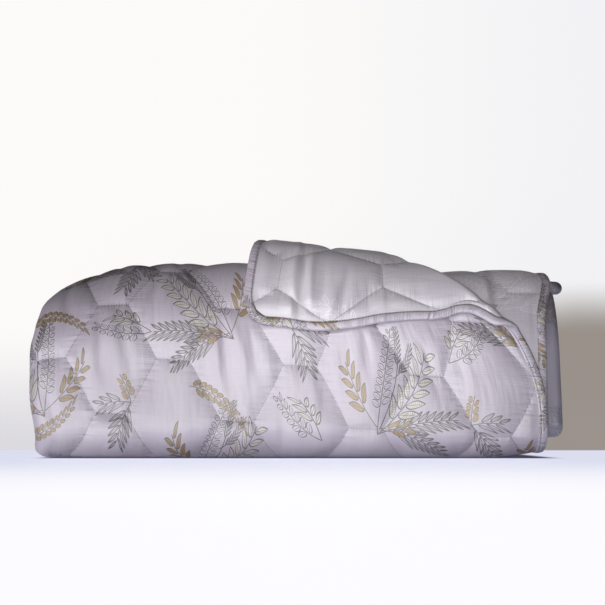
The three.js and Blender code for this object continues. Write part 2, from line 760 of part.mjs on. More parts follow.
function bindingStations() {
  const stations = [];
  const out = BINDING_GAP + BINDING_HALF_WIDTH;
  const reach = CORNER_RADIUS + out;
  const add = (frame, outW, outAlong) => {
    const outward = frame.across.clone().multiplyScalar(outW).addScaledVector(frame.along, outAlong);
    stations.push({ point: frame.point, facing: frame.facing, outward });
  };

  // A corner turns from angle 0, out across the width, to 90 degrees, out along the length
  const corner = (frameAt, angles, w, along, outW, outAlong) => {
    for (const a of angles) {
      const cos = outW * Math.cos(a);
      const sin = outAlong * Math.sin(a);
      add(frameAt(w + reach * cos, along + reach * sin), cos, sin);
    }
  };
  const backwards = [...CORNER_ANGLES].reverse();
  const farSide = CLOTH_WIDTH - CORNER_RADIUS;
  const farEnd = CLOTH_LENGTH - CORNER_RADIUS;
  const middle = MIDDLE_ROWS.filter((v) => v > CORNER_RADIUS && v < farEnd);

  // Turned side edge, from the inner end to the top end
  const sideRows = [
    ...fineRows().filter((t) => t > CORNER_RADIUS + 1),
    ...middle.filter((s) => s > SHOWN_LENGTH + 8),
  ];
  corner(frameOne, backwards, CORNER_RADIUS, farEnd, -1, 1);
  for (const t of sideRows.reverse()) add(frameOne(-out * slantStretch(t), t), -1, 0);
  corner(frameOne, CORNER_ANGLES, CORNER_RADIUS, CORNER_RADIUS, -1, -1);

  // Top end, over the turned corner and on through the other plies
  const { flap, roll, base } = rowStretches(0, endColumns());
  const alongEnd = [...flap.slice(1), ...roll.slice(1), ...base.slice(1)];
  for (const c of alongEnd.filter((v) => v < EDGE_ONE_X - CORNER_RADIUS - 2)) {
    add(frameOne(EDGE_ONE_X - c, -out), 0, -1);
  }
  const restColumns = [
    ...spread("left", [0.17, 0.34, 0.5, 0.68, 0.84]),
    ...PLY_FOUR,
    ...spread("right", [0, 0.25, 0.5, 0.75]),
    ...PLY_THREE,
    ...spread("inner", [0, 0.25, 0.5, 0.75]),
    ...PLY_TWO,
  ];
  for (const w of restColumns) add(frameRest(w, endShift(w) - out), 0, -1);

  // Side edge of the second ply and the inner end
  corner(frameRest, backwards, farSide, endShift(CLOTH_WIDTH) + CORNER_RADIUS, 1, -1);
  for (const s of middle) add(frameRest(CLOTH_WIDTH + out, s), 1, 0);
  corner(frameRest, CORNER_ANGLES, farSide, farEnd, 1, 1);
  for (const w of [...restColumns].reverse()) add(frameRest(w, CLOTH_LENGTH + out), 0, 1);
  for (const x of [LEFT_FOLD_X, ...SHARED_X]) add(frameOne(EDGE_ONE_X - x, CLOTH_LENGTH + out), 0, 1);
  return stations;
}

function bindingGeometry() {
  const rings = bindingStations().map(({ point, facing, outward }) => {
    const side = outward.clone().addScaledVector(facing, -outward.dot(facing)).normalize();
    return Array.from({ length: BINDING_SIDES }, (_, k) => {
      const angle = ((k + 0.5) * 2 * Math.PI) / BINDING_SIDES;
      const inSection = point
        .clone()
        .addScaledVector(side, BINDING_HALF_WIDTH * Math.cos(angle))
        .addScaledVector(facing, BINDING_HALF_THICK * Math.sin(angle));
      return soften(inSection);
    });
  });
  const positions = rings.flat().flatMap((p) => [p.x, p.y, p.z]);
  const indices = [];
  for (let i = 0; i < rings.length; i++) {
    for (let k = 0; k < BINDING_SIDES; k++) {
      const next = ((i + 1) % rings.length) * BINDING_SIDES;
      const a = i * BINDING_SIDES + k;
      const b = i * BINDING_SIDES + ((k + 1) % BINDING_SIDES);
      const c = next + k;
      const d = next + ((k + 1) % BINDING_SIDES);
      indices.push(a, d, b, a, c, d);
    }
  }
  const geometry = new THREE.BufferGeometry();
  geometry.setAttribute("position", new THREE.Float32BufferAttribute(positions, 3));
  geometry.setIndex(indices);
  return geometry;
}

function addPiece(parent, name, geometry, color) {
  const material = new THREE.MeshStandardMaterial({ color, roughness: 0.7, metalness: 0 });
  const mesh = new THREE.Mesh(geometry, material);
  mesh.name = name;
  parent.add(mesh);
}

const coverlet = new THREE.Group();
addPiece(coverlet, "quilted_cloth", clothGeometry(), 0xc6bdcc);
addPiece(coverlet, "edge_binding", bindingGeometry(), 0xb2a9b4);

// The origin is the middle of the bottom of the whole stack
const box = new THREE.Box3().setFromObject(coverlet);
coverlet.position.set(-(box.min.x + box.max.x) / 2, -(box.min.y + box.max.y) / 2, -box.min.z);

export default coverlet;
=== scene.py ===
import math
from collections import namedtuple
from functools import partialmethod

import bpy
import numpy as np
from bpy.props import FloatProperty, FloatVectorProperty, PointerProperty
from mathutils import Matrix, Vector


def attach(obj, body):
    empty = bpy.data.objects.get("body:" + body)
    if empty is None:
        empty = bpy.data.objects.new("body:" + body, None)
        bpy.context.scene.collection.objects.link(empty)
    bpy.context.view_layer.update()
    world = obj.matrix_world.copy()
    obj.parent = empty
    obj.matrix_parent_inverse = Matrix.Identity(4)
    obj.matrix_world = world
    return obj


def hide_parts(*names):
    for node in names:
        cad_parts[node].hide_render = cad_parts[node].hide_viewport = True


bl_info = {
    "name": "Folded Coverlet",
    "version": (1, 0, 0),
    "blender": (4, 5, 0),
    "location": "View3D > Sidebar > Coverlet",
    "description": "A quilted and printed coverlet, folded into a soft stack with its corner turned over",
    "category": "Add Mesh",
}

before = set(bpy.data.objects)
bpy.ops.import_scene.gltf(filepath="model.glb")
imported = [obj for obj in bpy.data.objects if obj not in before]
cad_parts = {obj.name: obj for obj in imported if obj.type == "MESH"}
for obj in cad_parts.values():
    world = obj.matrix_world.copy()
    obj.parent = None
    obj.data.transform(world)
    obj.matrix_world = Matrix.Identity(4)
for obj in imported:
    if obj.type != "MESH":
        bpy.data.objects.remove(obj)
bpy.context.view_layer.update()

# The cloth is laid out in millimetres, from the stack's left front bottom corner.
# On the cloth, w runs across the width from the turned side edge, t along the length from the top end.
# In the stack, s follows the rolled outline from the top end and n is the depth below it.
STACK_ORIGIN = (-315.299, -211.334, 0.0)

PLY_PITCH = 9.8
LAYER = 4 * PLY_PITCH
HALF = 3.3
DEPTH_ONE = HALF
DEPTH_TWO = DEPTH_ONE + PLY_PITCH
DEPTH_THREE = DEPTH_TWO + PLY_PITCH
DEPTH_FOUR = DEPTH_THREE + PLY_PITCH

STACK_DEPTH = 430.0
STACK_HEIGHT = 6 * LAYER
TOP_END_Y = 288.0
INNER_END_Y = 336.0
MIN_BEND = 5.2
BEND_RADII = (110.0, 40.0, 45.0, 70.0, 72.0, 9.0, 9.0, 32.0, 34.0, 9.0)

LEFT_FOLD_X = 18.0
EDGE_ONE_X = 590.0
EDGE_TWO_X = 590.0
RIGHT_FOLD_X = 603.0
TRUE_TO_X = 540.0

# The stack sinks mostly at the top, and its right end is lifted at the bottom
DROP_POWER = 1.5
RIGHT_LIFT = 5.0
RIGHT_LIFT_HEIGHT = 40.0

# The ear of the right fold: where it is, its half height and how far out it comes
EAR_S = 178.0
EAR_HALF = 4.6
EAR_OUT = 32.0

# The top row of plies lies askew
SKEW = 0.065
SKEW_CENTRE_X = 246.0
SKEW_FADE = (500.0, 900.0)

HEX_PERIOD = 145.4
HEX_ROW = 66.2
HEX_EDGE = 38.0
HEX_SLANT = HEX_PERIOD / 2 - HEX_EDGE
HEX_EDGE_START = 10.0
HEX_ROW_START = 37.0
# How far the quilting is moved across and along on the third ply, and how far from its folds
HEX_MOVE_U = 27.0
HEX_MOVE_V = 34.0
HEX_MOVE_MARGIN = 60.0

FOLD_X_AT_END = 243.5
FOLD_END_T = 314.6
FOLD_LAST_X = 560.0
FOLD_BOW = 13.0
FLAP_LENGTH = 334.0
FLAP_POWER = 1.1
ROLL_RADIUS = 4.6
ROLL_RADIUS_EXTRA = 8.4
ROLL_RADIUS_FADE = 80.0
FLAP_LOW = 10.0
FLAP_DROP = (215.0, 300.0)
ARC_REACH = 95.0
# How far the turned corner swings right just past its roll, and left at its end
SWAY_RIGHT = 7.0
SWAY_LEFT = 18.0

END_SHIFT_FOUR = -15.0
END_SHIFT_THREE = -12.0
END_SHIFT_TWO = -9.0

# The edge of the cloth reaches this far past the sewing line, inside the binding
EDGE_OUT = 5.0
SEWN_RADIUS = 30.0
CORNER_RADIUS = SEWN_RADIUS + EDGE_OUT

# Rows of the outer ply are close together up to the first place, and coarser up to each next one
FINEST_TO = 280.0
FINE_TO = 500.0
UNDERNEATH_TO = 800.0
SHOWN_TO = 1260.0
# The reverse side is fine on the turned corner, with the roll's end, up to here
TURNED_TO = 345.0
# The second ply's quilting shows as far down as this, to the right of a line with this slope
BESIDE_TO = 440.0
BESIDE_SLOPE = 0.94

# Half thickness of the cloth: on the seams, in the fold, and at the rim inside the binding
SEAM_HALF = 1.3
REVERSE_SEAM_HALF = 1.2
FOLDED_HALF = 2.4
RIM_HALF = 2.1
# How far from a seam the cloth swells, and how near to it gathers are held down
PUFF_REACH = 15.0
REVERSE_PUFF_REACH = 9.0
HELD_REACH = 7.0

# Columns: x, how far the top drops, narrowing front to back, tuck of the left end, shift of the front
SOFT_ENDS = np.array([
    (0, 38, 0.1, 1, 0),
    (18, 30, 0.074, 0.83, 0.5),
    (60, 16, 0.029, 0.49, 1.6),
    (110, 7, 0.002, 0.2, 2.4),
    (170, 5, 0, 0.02, 2.3),
    (236, 4.5, 0, 0, 1.0),
    (310, -2, 0, 0, -0.6),
    (400, 1, 0, 0, -2.4),
    (450, 6, 0, 0, -1.4),
    (540, 3, 0.001, 0, -0.4),
    (625, 5, 0.033, 0, 1.8),
], float)

# Columns: height, how far the left end lies in from the folds there
LEFT_END = np.array([
    (-10, 5),
    (8, 8),
    (20, 12),
    (35, 11.5),
    (63, 6.5),
    (100, 5.5),
    (128, 5.8),
    (146, 9),
    (165, 11.5),
    (180, 12.5),
    (193, 18),
    (210, 29),
    (235, 42),
    (265, 60),
], float)

# Columns: t, how much longer the turned corner lies than a flat fold would give
TURNED_HEM = np.array([
    (0, 12),
    (45, 12.5),
    (88, 17),
    (112, 15.5),
    (137, 12),
    (159, 7),
    (182, 2.5),
    (204, -1),
    (227, -3),
    (240, -7),
    (252, -13),
    (265, -21),
    (320, -22),
], float)

SIDE_TRAVEL = ((-1, 0), (0, -1), (1, 0), (0, 1))


def smooth(start, stop, v):
    f = np.clip((v - start) / (stop - start), 0, 1)
    return f * f * (3 - 2 * f)


def lerp(a, b, f):
    return a + (b - a) * f


def line_at(side, n):
    """Height or depth of a side of the rolled outline, at a depth below the outer ply."""
    inset = side // 4 * LAYER + n
    return (STACK_HEIGHT - inset, inset, inset, STACK_DEPTH - inset)[side % 4]


def bend_radius(bend, n):
    return np.maximum(BEND_RADII[bend] - n, MIN_BEND)


def bend_corner(bend, n):
    first, second = line_at(bend, n), line_at(bend + 1, n)
    return (second, first) if bend % 2 == 0 else (first, second)


def bend_end(bend, n, after=1):
    """Where a bend starts, with after 0, or ends, with after 1."""
    y, z = bend_corner(bend, n)
    dy, dz = SIDE_TRAVEL[(bend + after) % 4]
    r = bend_radius(bend, n) * (1 if after else -1)
    return y + dy * r, z + dz * r


LAST_SIDE = len(BEND_RADII)


def side_start(side, n):
    return (TOP_END_Y + 0 * n, line_at(0, n)) if side == 0 else bend_end(side - 1, n)


def side_end(side, n):
    return (INNER_END_Y + 0 * n, line_at(side, n)) if side == LAST_SIDE else bend_end(side, n, 0)


def outline_spans():
    spans, start = [], 0.0
    for side in range(LAST_SIDE + 1):
        (y0, z0), (y1, z1) = side_start(side, 0.0), side_end(side, 0.0)
        length = math.hypot(y1 - y0, z1 - z0)
        spans.append((side, False, start, length))
        start += length
        if side < LAST_SIDE:
            arc = float(bend_radius(side, 0.0)) * math.pi / 2
            spans.append((side, True, start, arc))
            start += arc
    return spans


SPANS = outline_spans()
SPAN_STARTS = np.array([span[2] for span in SPANS])
CLOTH_LENGTH = SPANS[-1][2] + SPANS[-1][3]
BOTTOM_FROM = SPANS[4][2]
BOTTOM_TO = BOTTOM_FROM + SPANS[4][3]


def section_point(s, n):
    y, z = np.zeros_like(s), np.zeros_like(s)
    index = np.clip(np.searchsorted(SPAN_STARTS, s, side="right") - 1, 0, len(SPANS) - 1)
    for k, (side, bend, start, length) in enumerate(SPANS):
        at = index == k
        if not at.any():
            continue
        f, depth = (s[at] - start) / length, n[at]
        if bend:
            y0, z0 = bend_end(side, depth, 0)
            dy, dz = SIDE_TRAVEL[side % 4]
            r = bend_radius(side, depth)
            forward, inward = r * np.sin(f * math.pi / 2), r * (1 - np.cos(f * math.pi / 2))
            y[at], z[at] = y0 + dy * forward - dz * inward, z0 + dz * forward + dy * inward
        else:
            (y0, z0), (y1, z1) = side_start(side, depth), side_end(side, depth)
            y[at], z[at] = lerp(y0, y1, f), lerp(z0, z1, f)
    return y, z


def table_curve(table, x, column):
    """A soft curve through one column of a table, over its first column."""
    xs, ys = table[:, 0], table[:, column]
    slopes = np.gradient(ys, xs)
    k = np.clip(np.searchsorted(xs, x, side="right") - 1, 0, len(xs) - 2)
    width = xs[k + 1] - xs[k]
    f = np.clip((x - xs[k]) / width, 0, 1.1)
    rise = (1 + 2 * f) * (1 - f) ** 2 * ys[k] + f**2 * (3 - 2 * f) * ys[k + 1]
    return rise + width * (f * (1 - f) ** 2 * slopes[k] + f**2 * (f - 1) * slopes[k + 1])


def soften(p):
    """Gives the square stack its soft shape."""
    x, y, z = p[:, 0], p[:, 1], p[:, 2]
    drop, narrow, tuck, bow = (table_curve(SOFT_ENDS, x, column) for column in (1, 2, 3, 4))
    low = z - np.clip(z / STACK_HEIGHT, 0, 1) ** DROP_POWER * drop
    inward = table_curve(LEFT_END, low, 1)
    middle = STACK_DEPTH / 2
    right = np.maximum(0, (x - TRUE_TO_X) / (EDGE_ONE_X - TRUE_TO_X))
    lift = RIGHT_LIFT * right * np.clip(1 - z / RIGHT_LIFT_HEIGHT, 0, 1.2)
    y = middle + (y - middle) * (1 - narrow) + bow * (1 - y / STACK_DEPTH)
    return np.stack((x + inward * tuck, y, low + lift), 1)


def skew_at(x, t):
    """How much farther down the stack a place lies because the top is askew."""
    return SKEW * (x - SKEW_CENTRE_X) * (1 - smooth(*SKEW_FADE, t))


def flap_length(t):
    return FLAP_LENGTH * np.clip(1 - t / FOLD_END_T, 0, 1) ** FLAP_POWER


def roll_radius(t):
    return ROLL_RADIUS + ROLL_RADIUS_EXTRA * np.exp(-np.maximum(t, 0) / ROLL_RADIUS_FADE)


def roll_length(t):
    return math.sqrt(2) * math.pi * roll_radius(t)


def edge_one_x(t):
    """Stack x of the outer ply's side edge, which is drawn in below the fold."""
    near = np.clip((FOLD_END_T + ARC_REACH - t) / ARC_REACH, 0, 1)
    return EDGE_ONE_X - (EDGE_ONE_X - FOLD_LAST_X) * near * near


def fold_at(t):
    """Cloth x and stack x of the fold on row t, or of the side edge below the fold."""
    below = t >= FOLD_END_T
    cloth = np.where(below, EDGE_ONE_X, EDGE_ONE_X - flap_length(t))
    f = np.clip(t / FOLD_END_T, 0, 1)
    line = lerp(FOLD_X_AT_END, FOLD_LAST_X, t / FOLD_END_T) - FOLD_BOW * np.sin(math.pi * f)
    stack = np.where(below, edge_one_x(t), line)
    return cloth, stack


def place_outer(w, t):
    """Where a point of the outer ply lies, with its corner turned over along a soft roll."""
    c = EDGE_ONE_X - w
    fold, stack = fold_at(t)
    over = c - fold
    drawn = (fold - stack) * np.clip(c / fold, 0, None) ** 2
    lying = (over <= 0) | (t >= FOLD_END_T)
    x_lying = c - drawn
    s_lying = t + skew_at(x_lying, t)

    r, full = roll_radius(t), roll_length(t)
    turned = np.minimum(over, full)
    angle = turned / math.sqrt(2) / r
    bulge = r * np.sin(angle) / math.sqrt(2)
    past = over - turned
    natural = np.maximum(0, flap_length(t) - full)
    fit = 1 + table_curve(TURNED_HEM, t, 1) * np.minimum(1, natural / 40) / np.maximum(natural, 1)
    sway = SWAY_RIGHT * smooth(0, 60, past) - SWAY_LEFT * smooth(90, 290, past)
    sway = sway * (1 - smooth(30, 170, t))
    s_turned = t + skew_at(stack, t) + turned / 2 - bulge + past * fit
    settle = smooth(*FLAP_DROP, s_turned) * smooth(0, 40, past)
    rise = lerp(r * (1 - np.cos(angle)), FLAP_LOW, settle)
    return (
        np.where(lying, x_lying, stack + turned / 2 + bulge + sway),
        np.where(lying, s_lying, s_turned),
        np.where(lying, DEPTH_ONE, DEPTH_ONE - rise),
    )


# The other plies follow on from the left fold, one after another
OUTER_WIDTH = EDGE_ONE_X - LEFT_FOLD_X
INNER_WIDTH = EDGE_TWO_X - LEFT_FOLD_X
LEFT_BEND = (DEPTH_FOUR - DEPTH_ONE) / 2
TIGHT_BEND = PLY_PITCH / 2
ZONES = {}
CLOTH_WIDTH = OUTER_WIDTH
for zone_name, zone_length in (
    ("left", LEFT_BEND * math.pi),
    ("four", INNER_WIDTH),
    ("right", TIGHT_BEND * math.pi),
    ("three", INNER_WIDTH),
    ("inner", TIGHT_BEND * math.pi),
    ("two", INNER_WIDTH),
):
    ZONES[zone_name] = (CLOTH_WIDTH, zone_length)
    CLOTH_WIDTH += zone_length


def right_fold_x(s):
    """How far right the fold of the other plies lies, farthest in front and in its ear."""
    front = smooth(215, 250, s) * (1 - smooth(520, 600, s))
    upper = 1 - smooth(190, 235, s)
    ear = EAR_OUT * np.exp(-(((s - EAR_S) / EAR_HALF) ** 2))
    return RIGHT_FOLD_X + 8 * front - 7 * upper + ear + 2 * np.sin(s / 61)


def edge_two_x(s):
    """How far right the second ply's side edge lies."""
    return EDGE_TWO_X + 1 + 14 * (1 - smooth(225, 320, s))


def along_ply(run, right_x):
    """Stack x at a length along a ply, whose right end is drawn to its own place."""
    true_run = TRUE_TO_X - LEFT_FOLD_X
    beyond = (run - true_run) / (INNER_WIDTH - true_run)
    return np.where(run <= true_run, LEFT_FOLD_X + run, lerp(TRUE_TO_X, right_x, beyond))


def place_inner(w, s):
    """Where a point of the other plies lies."""
    x, n = np.zeros_like(s), np.zeros_like(s)
    starts = np.array([start for start, _ in ZONES.values()])
    index = np.clip(np.searchsorted(starts, w, side="right") - 1, 0, len(starts) - 1)
    for k, (name, (start, length)) in enumerate(ZONES.items()):
        at = index == k
        run, right = w[at] - start, right_fold_x(s[at])
        half = run / length * math.pi
        if name == "left":
            x[at] = LEFT_FOLD_X - LEFT_BEND * np.sin(half)
            n[at] = DEPTH_ONE + LEFT_BEND * (1 - np.cos(half))
        elif name == "four":
            x[at], n[at] = along_ply(run, right), DEPTH_FOUR
        elif name == "right":
            x[at] = right + TIGHT_BEND * np.sin(half)
            n[at] = DEPTH_FOUR - TIGHT_BEND * (1 - np.cos(half))
        elif name == "three":
            x[at], n[at] = along_ply(length - run, right), DEPTH_THREE
        elif name == "inner":
            x[at] = LEFT_FOLD_X - TIGHT_BEND * np.sin(half)
            n[at] = DEPTH_THREE - TIGHT_BEND * (1 - np.cos(half))
        else:
            x[at], n[at] = along_ply(run, edge_two_x(s[at])), DEPTH_TWO
    return x, s, n


def end_shift(w):
    """How far the top end of each ply lies from that of the outer ply."""
    def part(name):
        start, length = ZONES[name]
        return np.clip((w - start) / length, 0, 1)
    shift = lerp(SKEW * (LEFT_FOLD_X - SKEW_CENTRE_X), END_SHIFT_FOUR, part("left"))
    shift = lerp(shift, END_SHIFT_THREE, part("right"))
    return lerp(shift, END_SHIFT_TWO, part("inner"))


def stack_s(w, t):
    """Place along the stack of the other plies, whose rows run with the outer ply's at the left fold."""
    start, length = ZONES["left"]
    own = end_shift(w) * (1 - smooth(30, 60, t))
    outer = skew_at(LEFT_FOLD_X, t)
    return t + lerp(outer, own, np.clip((w - start) / length, 0, 1))


def place_cloth(w, t):
    outer = w <= OUTER_WIDTH
    x, s, n = place_outer(np.minimum(w, OUTER_WIDTH), t)
    x2, s2, n2 = place_inner(np.maximum(w, OUTER_WIDTH), stack_s(w, t))
    return np.where(outer, x, x2), np.where(outer, s, s2), np.where(outer, n, n2)


def square_point(w, t):
    x, s, n = place_cloth(w, t)
    y, z = section_point(s, n)
    return np.stack((x, y, z), 1)


def cloth_frame(w, t, step=0.5):
    """Point, direction across, direction along and printed side's facing at places on the cloth."""
    w, t = np.asarray(w, float), np.asarray(t, float)
    across = square_point(w + step, t) - square_point(w - step, t)
    along = square_point(w, t + step) - square_point(w, t - step)
    facing = np.cross(across, along)
    facing /= np.linalg.norm(facing, axis=1, keepdims=True)
    return square_point(w, t), across, along, facing


def to_metres(p):
    return (p + np.array(STACK_ORIGIN)) / 1000


# Honeycomb quilting


def quilt_place(w, t):
    """Cloth coordinates of the quilting, eased on the third ply so that it meets the second."""
    start, length = ZONES["three"]
    ease = smooth(start + HEX_MOVE_MARGIN, start + length - HEX_MOVE_MARGIN, w)
    return EDGE_ONE_X - w - HEX_MOVE_U * ease, t + HEX_MOVE_V * ease


def seam_distance(u, v):
    """Distance from a place on the cloth to the nearest seam."""
    row = (v - HEX_ROW_START) / HEX_ROW
    index = np.floor(row)
    rise = np.where(index % 2 == 0, 1 - (row - index), row - index)
    lean = HEX_ROW / math.hypot(HEX_ROW, HEX_SLANT)
    u0 = u - HEX_EDGE_START
    offset = u0 - np.floor((u0 + HEX_SLANT * rise) / HEX_PERIOD) * HEX_PERIOD
    wide_end = HEX_EDGE + HEX_SLANT * rise
    in_wide = offset <= wide_end
    start = np.where(in_wide, -HEX_SLANT * rise, wide_end)
    stop = np.where(in_wide, wide_end, HEX_PERIOD - HEX_SLANT * rise)
    level = np.where(in_wide, rise, 1 - rise) * HEX_ROW
    return np.maximum(0, np.minimum(level, np.minimum(offset - start, stop - offset) * lean))


def seam_columns(t, near, steps):
    """Columns that follow the slanting seams, close together beside each seam."""
    row = (t - HEX_ROW_START) / HEX_ROW
    index = math.floor(row)
    rise = 1 - (row - index) if index % 2 == 0 else row - index
    columns = []
    for k in range(-1, 5):
        base = HEX_EDGE_START + k * HEX_PERIOD
        ends = (
            base - HEX_SLANT * rise,
            base + HEX_EDGE + HEX_SLANT * rise,
            base + HEX_PERIOD - HEX_SLANT * rise,
        )
        for a, b in zip(ends, ends[1:]):
            columns += spaced(a, b, near, steps)
    return columns


def spaced(a, b, near, steps):
    """Places from a up to b, close together at both ends and even between."""
    first, final = a + near[-1], b - near[-1]
    middle = [lerp(first, final, k / steps) for k in range(1, steps)]
    return [a + v for v in near] + middle + [b - v for v in reversed(near[1:])]


# The mesh of the cloth, built from rows of numbered points that are laced together

PRINTED, REVERSE = 0, 1
NEAR_SEAM = (0.0, 1.3, 3.2, 6.0, 10.0, 15.0)
NEAR_COARSE_SEAM = (0.0, 2.0, 6.0, 13.0)
ROLL_STEPS = 12
LEFT_TURN = (0.1, 0.2, 0.3, 0.4, 0.5)
SHARED_X = (60.0, 110.0, 170.0, 400.0, 540.0)
PLY_X = SHARED_X + (565.0, 580.0)
BESIDE_FLAP_X = sorted(SHARED_X + tuple(225 + 7 * k for k in range(53)))

OuterRow = namedtuple("OuterRow", "flap roll base")


class ClothMesh:
    def __init__(self):
        self.w, self.t, self.facing = [], [], []
        self.faces, self.sides = [], []

    def row(self, w, t, facing):
        """Adds points on the printed side, 1, or the reverse side, -1; gives them with w as key."""
        w = [float(v) for v in w]
        first = len(self.w)
        self.w += w
        self.t += [float(t)] * len(w)
        self.facing += [facing] * len(w)
        return list(zip(range(first, len(self.w)), w))

    def lace(self, a, b, side, flip=False):
        """Joins two rows with triangles, in the order of their keys."""
        i = j = 0
        while i < len(a) - 1 or j < len(b) - 1:
            next_a = (a[i][1] + a[i + 1][1]) / 2 if i < len(a) - 1 else math.inf
            next_b = (b[j][1] + b[j + 1][1]) / 2 if j < len(b) - 1 else math.inf
            p, q = a[i][0], b[j][0]
            if next_a <= next_b:
                i += 1
                r = a[i][0]
            else:
                j += 1
                r = b[j][0]
            self.faces.append((p, q, r) if flip else (p, r, q))
            self.sides.append(side)

    def lace_all(self, rows, side, flip=False):
        for a, b in zip(rows, rows[1:]):
            self.lace(a, b, side, flip)

    def ends(self, rows, end):
        """The first or last point of each row, with its place along the cloth as key."""
        return [(row[end][0], self.t[row[end][0]]) for row in rows]


def corner_inset(from_end):
    """How far a rounded corner takes the edge in, at a distance from the cloth's end."""
    short = np.clip(CORNER_RADIUS - from_end, 0, None)
    return CORNER_RADIUS - math.sqrt(max(0, CORNER_RADIUS**2 - short**2))


def end_rows(steps=7):
    return [-EDGE_OUT + CORNER_RADIUS * (1 - math.cos(k / steps * math.pi / 2)) for k in range(steps)]


def shown_rows():
    """Rows of the outer ply, fine on top, in front and at the back, coarse underneath."""
    rows = end_rows()
    t = HEX_ROW_START
    while t < SHOWN_TO:
        if t < FINEST_TO:
            near, steps = NEAR_SEAM, 12
        elif t < FINE_TO:
            near, steps = NEAR_SEAM, 6
        elif t < UNDERNEATH_TO:
            near, steps = (0.0,), 4
        else:
            near, steps = NEAR_COARSE_SEAM, 3
        rows += spaced(t, t + HEX_ROW, near, steps)[:-1]
        t += HEX_ROW
    return sorted(rows)


def stack_rows():
    """Rows of the other plies, close together round the bends."""
    rows = []
    for side, bend, start, length in SPANS:
        steps = max(5, round(math.sqrt(length) * 1.3)) if bend else max(1, round(length / 24))
        rows += [start + length * k / steps for k in range(steps)]
    ear = [EAR_S - 12 + 3 * k for k in range(15)]
    kept = [s for s in rows if 62 < s < CLOTH_LENGTH - 45 and not EAR_S - 15 < s < EAR_S + 33]
    head = end_rows()
    tail = [CLOTH_LENGTH - t for t in reversed(head)]
    return head + sorted(kept + ear + [SEWN_RADIUS + 3, 44, 53, CLOTH_LENGTH - 32]) + tail


def row_from_ends(t):
    """Distance of a row from the nearer end of the cloth."""
    return min(t, CLOTH_LENGTH - t) + EDGE_OUT


def zone_points(name, fractions):
    """Places across at fractions of a fold or ply."""
    start, length = ZONES[name]
    return [start + length * f for f in fractions]


def ply_points(name, xs):
    """Places on an inner ply at given distances from the left."""
    start, length = ZONES[name]
    if name == "three":
        return [start + length - x + LEFT_FOLD_X for x in reversed(xs)]
    return [start + x - LEFT_FOLD_X for x in xs]


def between(values, a, b, margin):
    return [v for v in values if a + margin < v < b - margin]


def outer_stretches(t, base_columns, columns):
    """Flap, roll and base of one row of the outer ply, each from the edge inwards."""
    edge = EDGE_ONE_X + EDGE_OUT - corner_inset(row_from_ends(t))
    fold = float(fold_at(np.array([t]))[0][0])
    if t >= FOLD_END_T:
        fold = EDGE_ONE_X + EDGE_OUT
    base = [fold] + between(base_columns, LEFT_FOLD_X, fold, 2.5)[::-1] + [LEFT_FOLD_X]
    if t >= FOLD_END_T:
        return [fold], [fold], base
    roll_end = min(fold + float(roll_length(t)), edge)
    roll = [lerp(fold, roll_end, k / ROLL_STEPS) for k in range(ROLL_STEPS, -1, -1)]
    flap = [edge] + between(columns, roll_end, edge, 2.5)[::-1] if edge > roll_end + 1 else []
    return flap + [roll_end], roll, base


def quilt_columns(t):
    if t < FINE_TO:
        return seam_columns(t, NEAR_SEAM, 13)
    return seam_columns(t, NEAR_COARSE_SEAM, 4)


def lying_columns(t):
    """Columns of the reverse side under the fold, beside those of the plies below."""
    fold, stack = (float(v[0]) for v in fold_at(np.array([t])))
    found = []
    for x in SHARED_X:
        c = x
        for _ in range(4):
            c = x + (fold - stack) * (c / fold) ** 2
        found.append(c)
    return found


def outer_face(mesh, rows, facing, base_columns_of):
    """Laces one side of the outer ply; its first row also has the columns of the other plies."""
    side, flip = (PRINTED, False) if facing > 0 else (REVERSE, True)
    made = []
    for t in rows:
        columns = quilt_columns(t)
        base_columns = sorted(columns + list(SHARED_X)) if t == rows[0] else base_columns_of(t)
        stretches = outer_stretches(t, base_columns, columns)
        places = sorted({c for stretch in stretches for c in stretch}, reverse=True)
        points = dict(zip(places, mesh.row([EDGE_ONE_X - c for c in places], t, facing)))
        flap, roll, base = ([points[c] for c in stretch] for stretch in stretches)
        made.append(OuterRow(flap, [(point, k) for k, (point, _) in enumerate(roll)], base))
    for a, b in zip(made, made[1:]):
        for one, next_one in zip(a, b):
            mesh.lace(one, next_one, side, flip)
    return made


def whole(row):
    """All points of a row of the outer ply, with their own keys."""
    flap, roll, base = row
    first, last = flap[-1][1], base[0][1]
    inner = [(point, lerp(first, last, k / ROLL_STEPS)) for point, k in roll[1:-1]]
    return flap + inner + [p for p in base if p[0] != flap[-1][0]]


def plain_row(mesh, t, facing, turns):
    """A row of the outer ply where it is hidden, on to some places round the left fold."""
    edge = -EDGE_OUT + corner_inset(row_from_ends(t))
    across = [edge] + [EDGE_ONE_X - x for x in SHARED_X[::-1]] + [OUTER_WIDTH]
    return mesh.row(across + zone_points("left", turns), t, facing)


def rest_row(mesh, t, columns, facing):
    """A row that runs on to the far side edge."""
    edge = CLOTH_WIDTH + EDGE_OUT - corner_inset(row_from_ends(t))
    return mesh.row([w for w in columns if w < edge - 2] + [edge], t, facing)


def ply_columns(name, xs=PLY_X):
    return [ZONES[name][0]] + ply_points(name, xs)


def inner_columns(left, right):
    """Places across from the left fold to the inner one, at fractions of the left and right folds."""
    columns = zone_points("left", left) + ply_columns("four")
    columns += zone_points("right", right) + ply_columns("three")
    return columns + zone_points("inner", (0, 0.25, 0.5, 0.75))


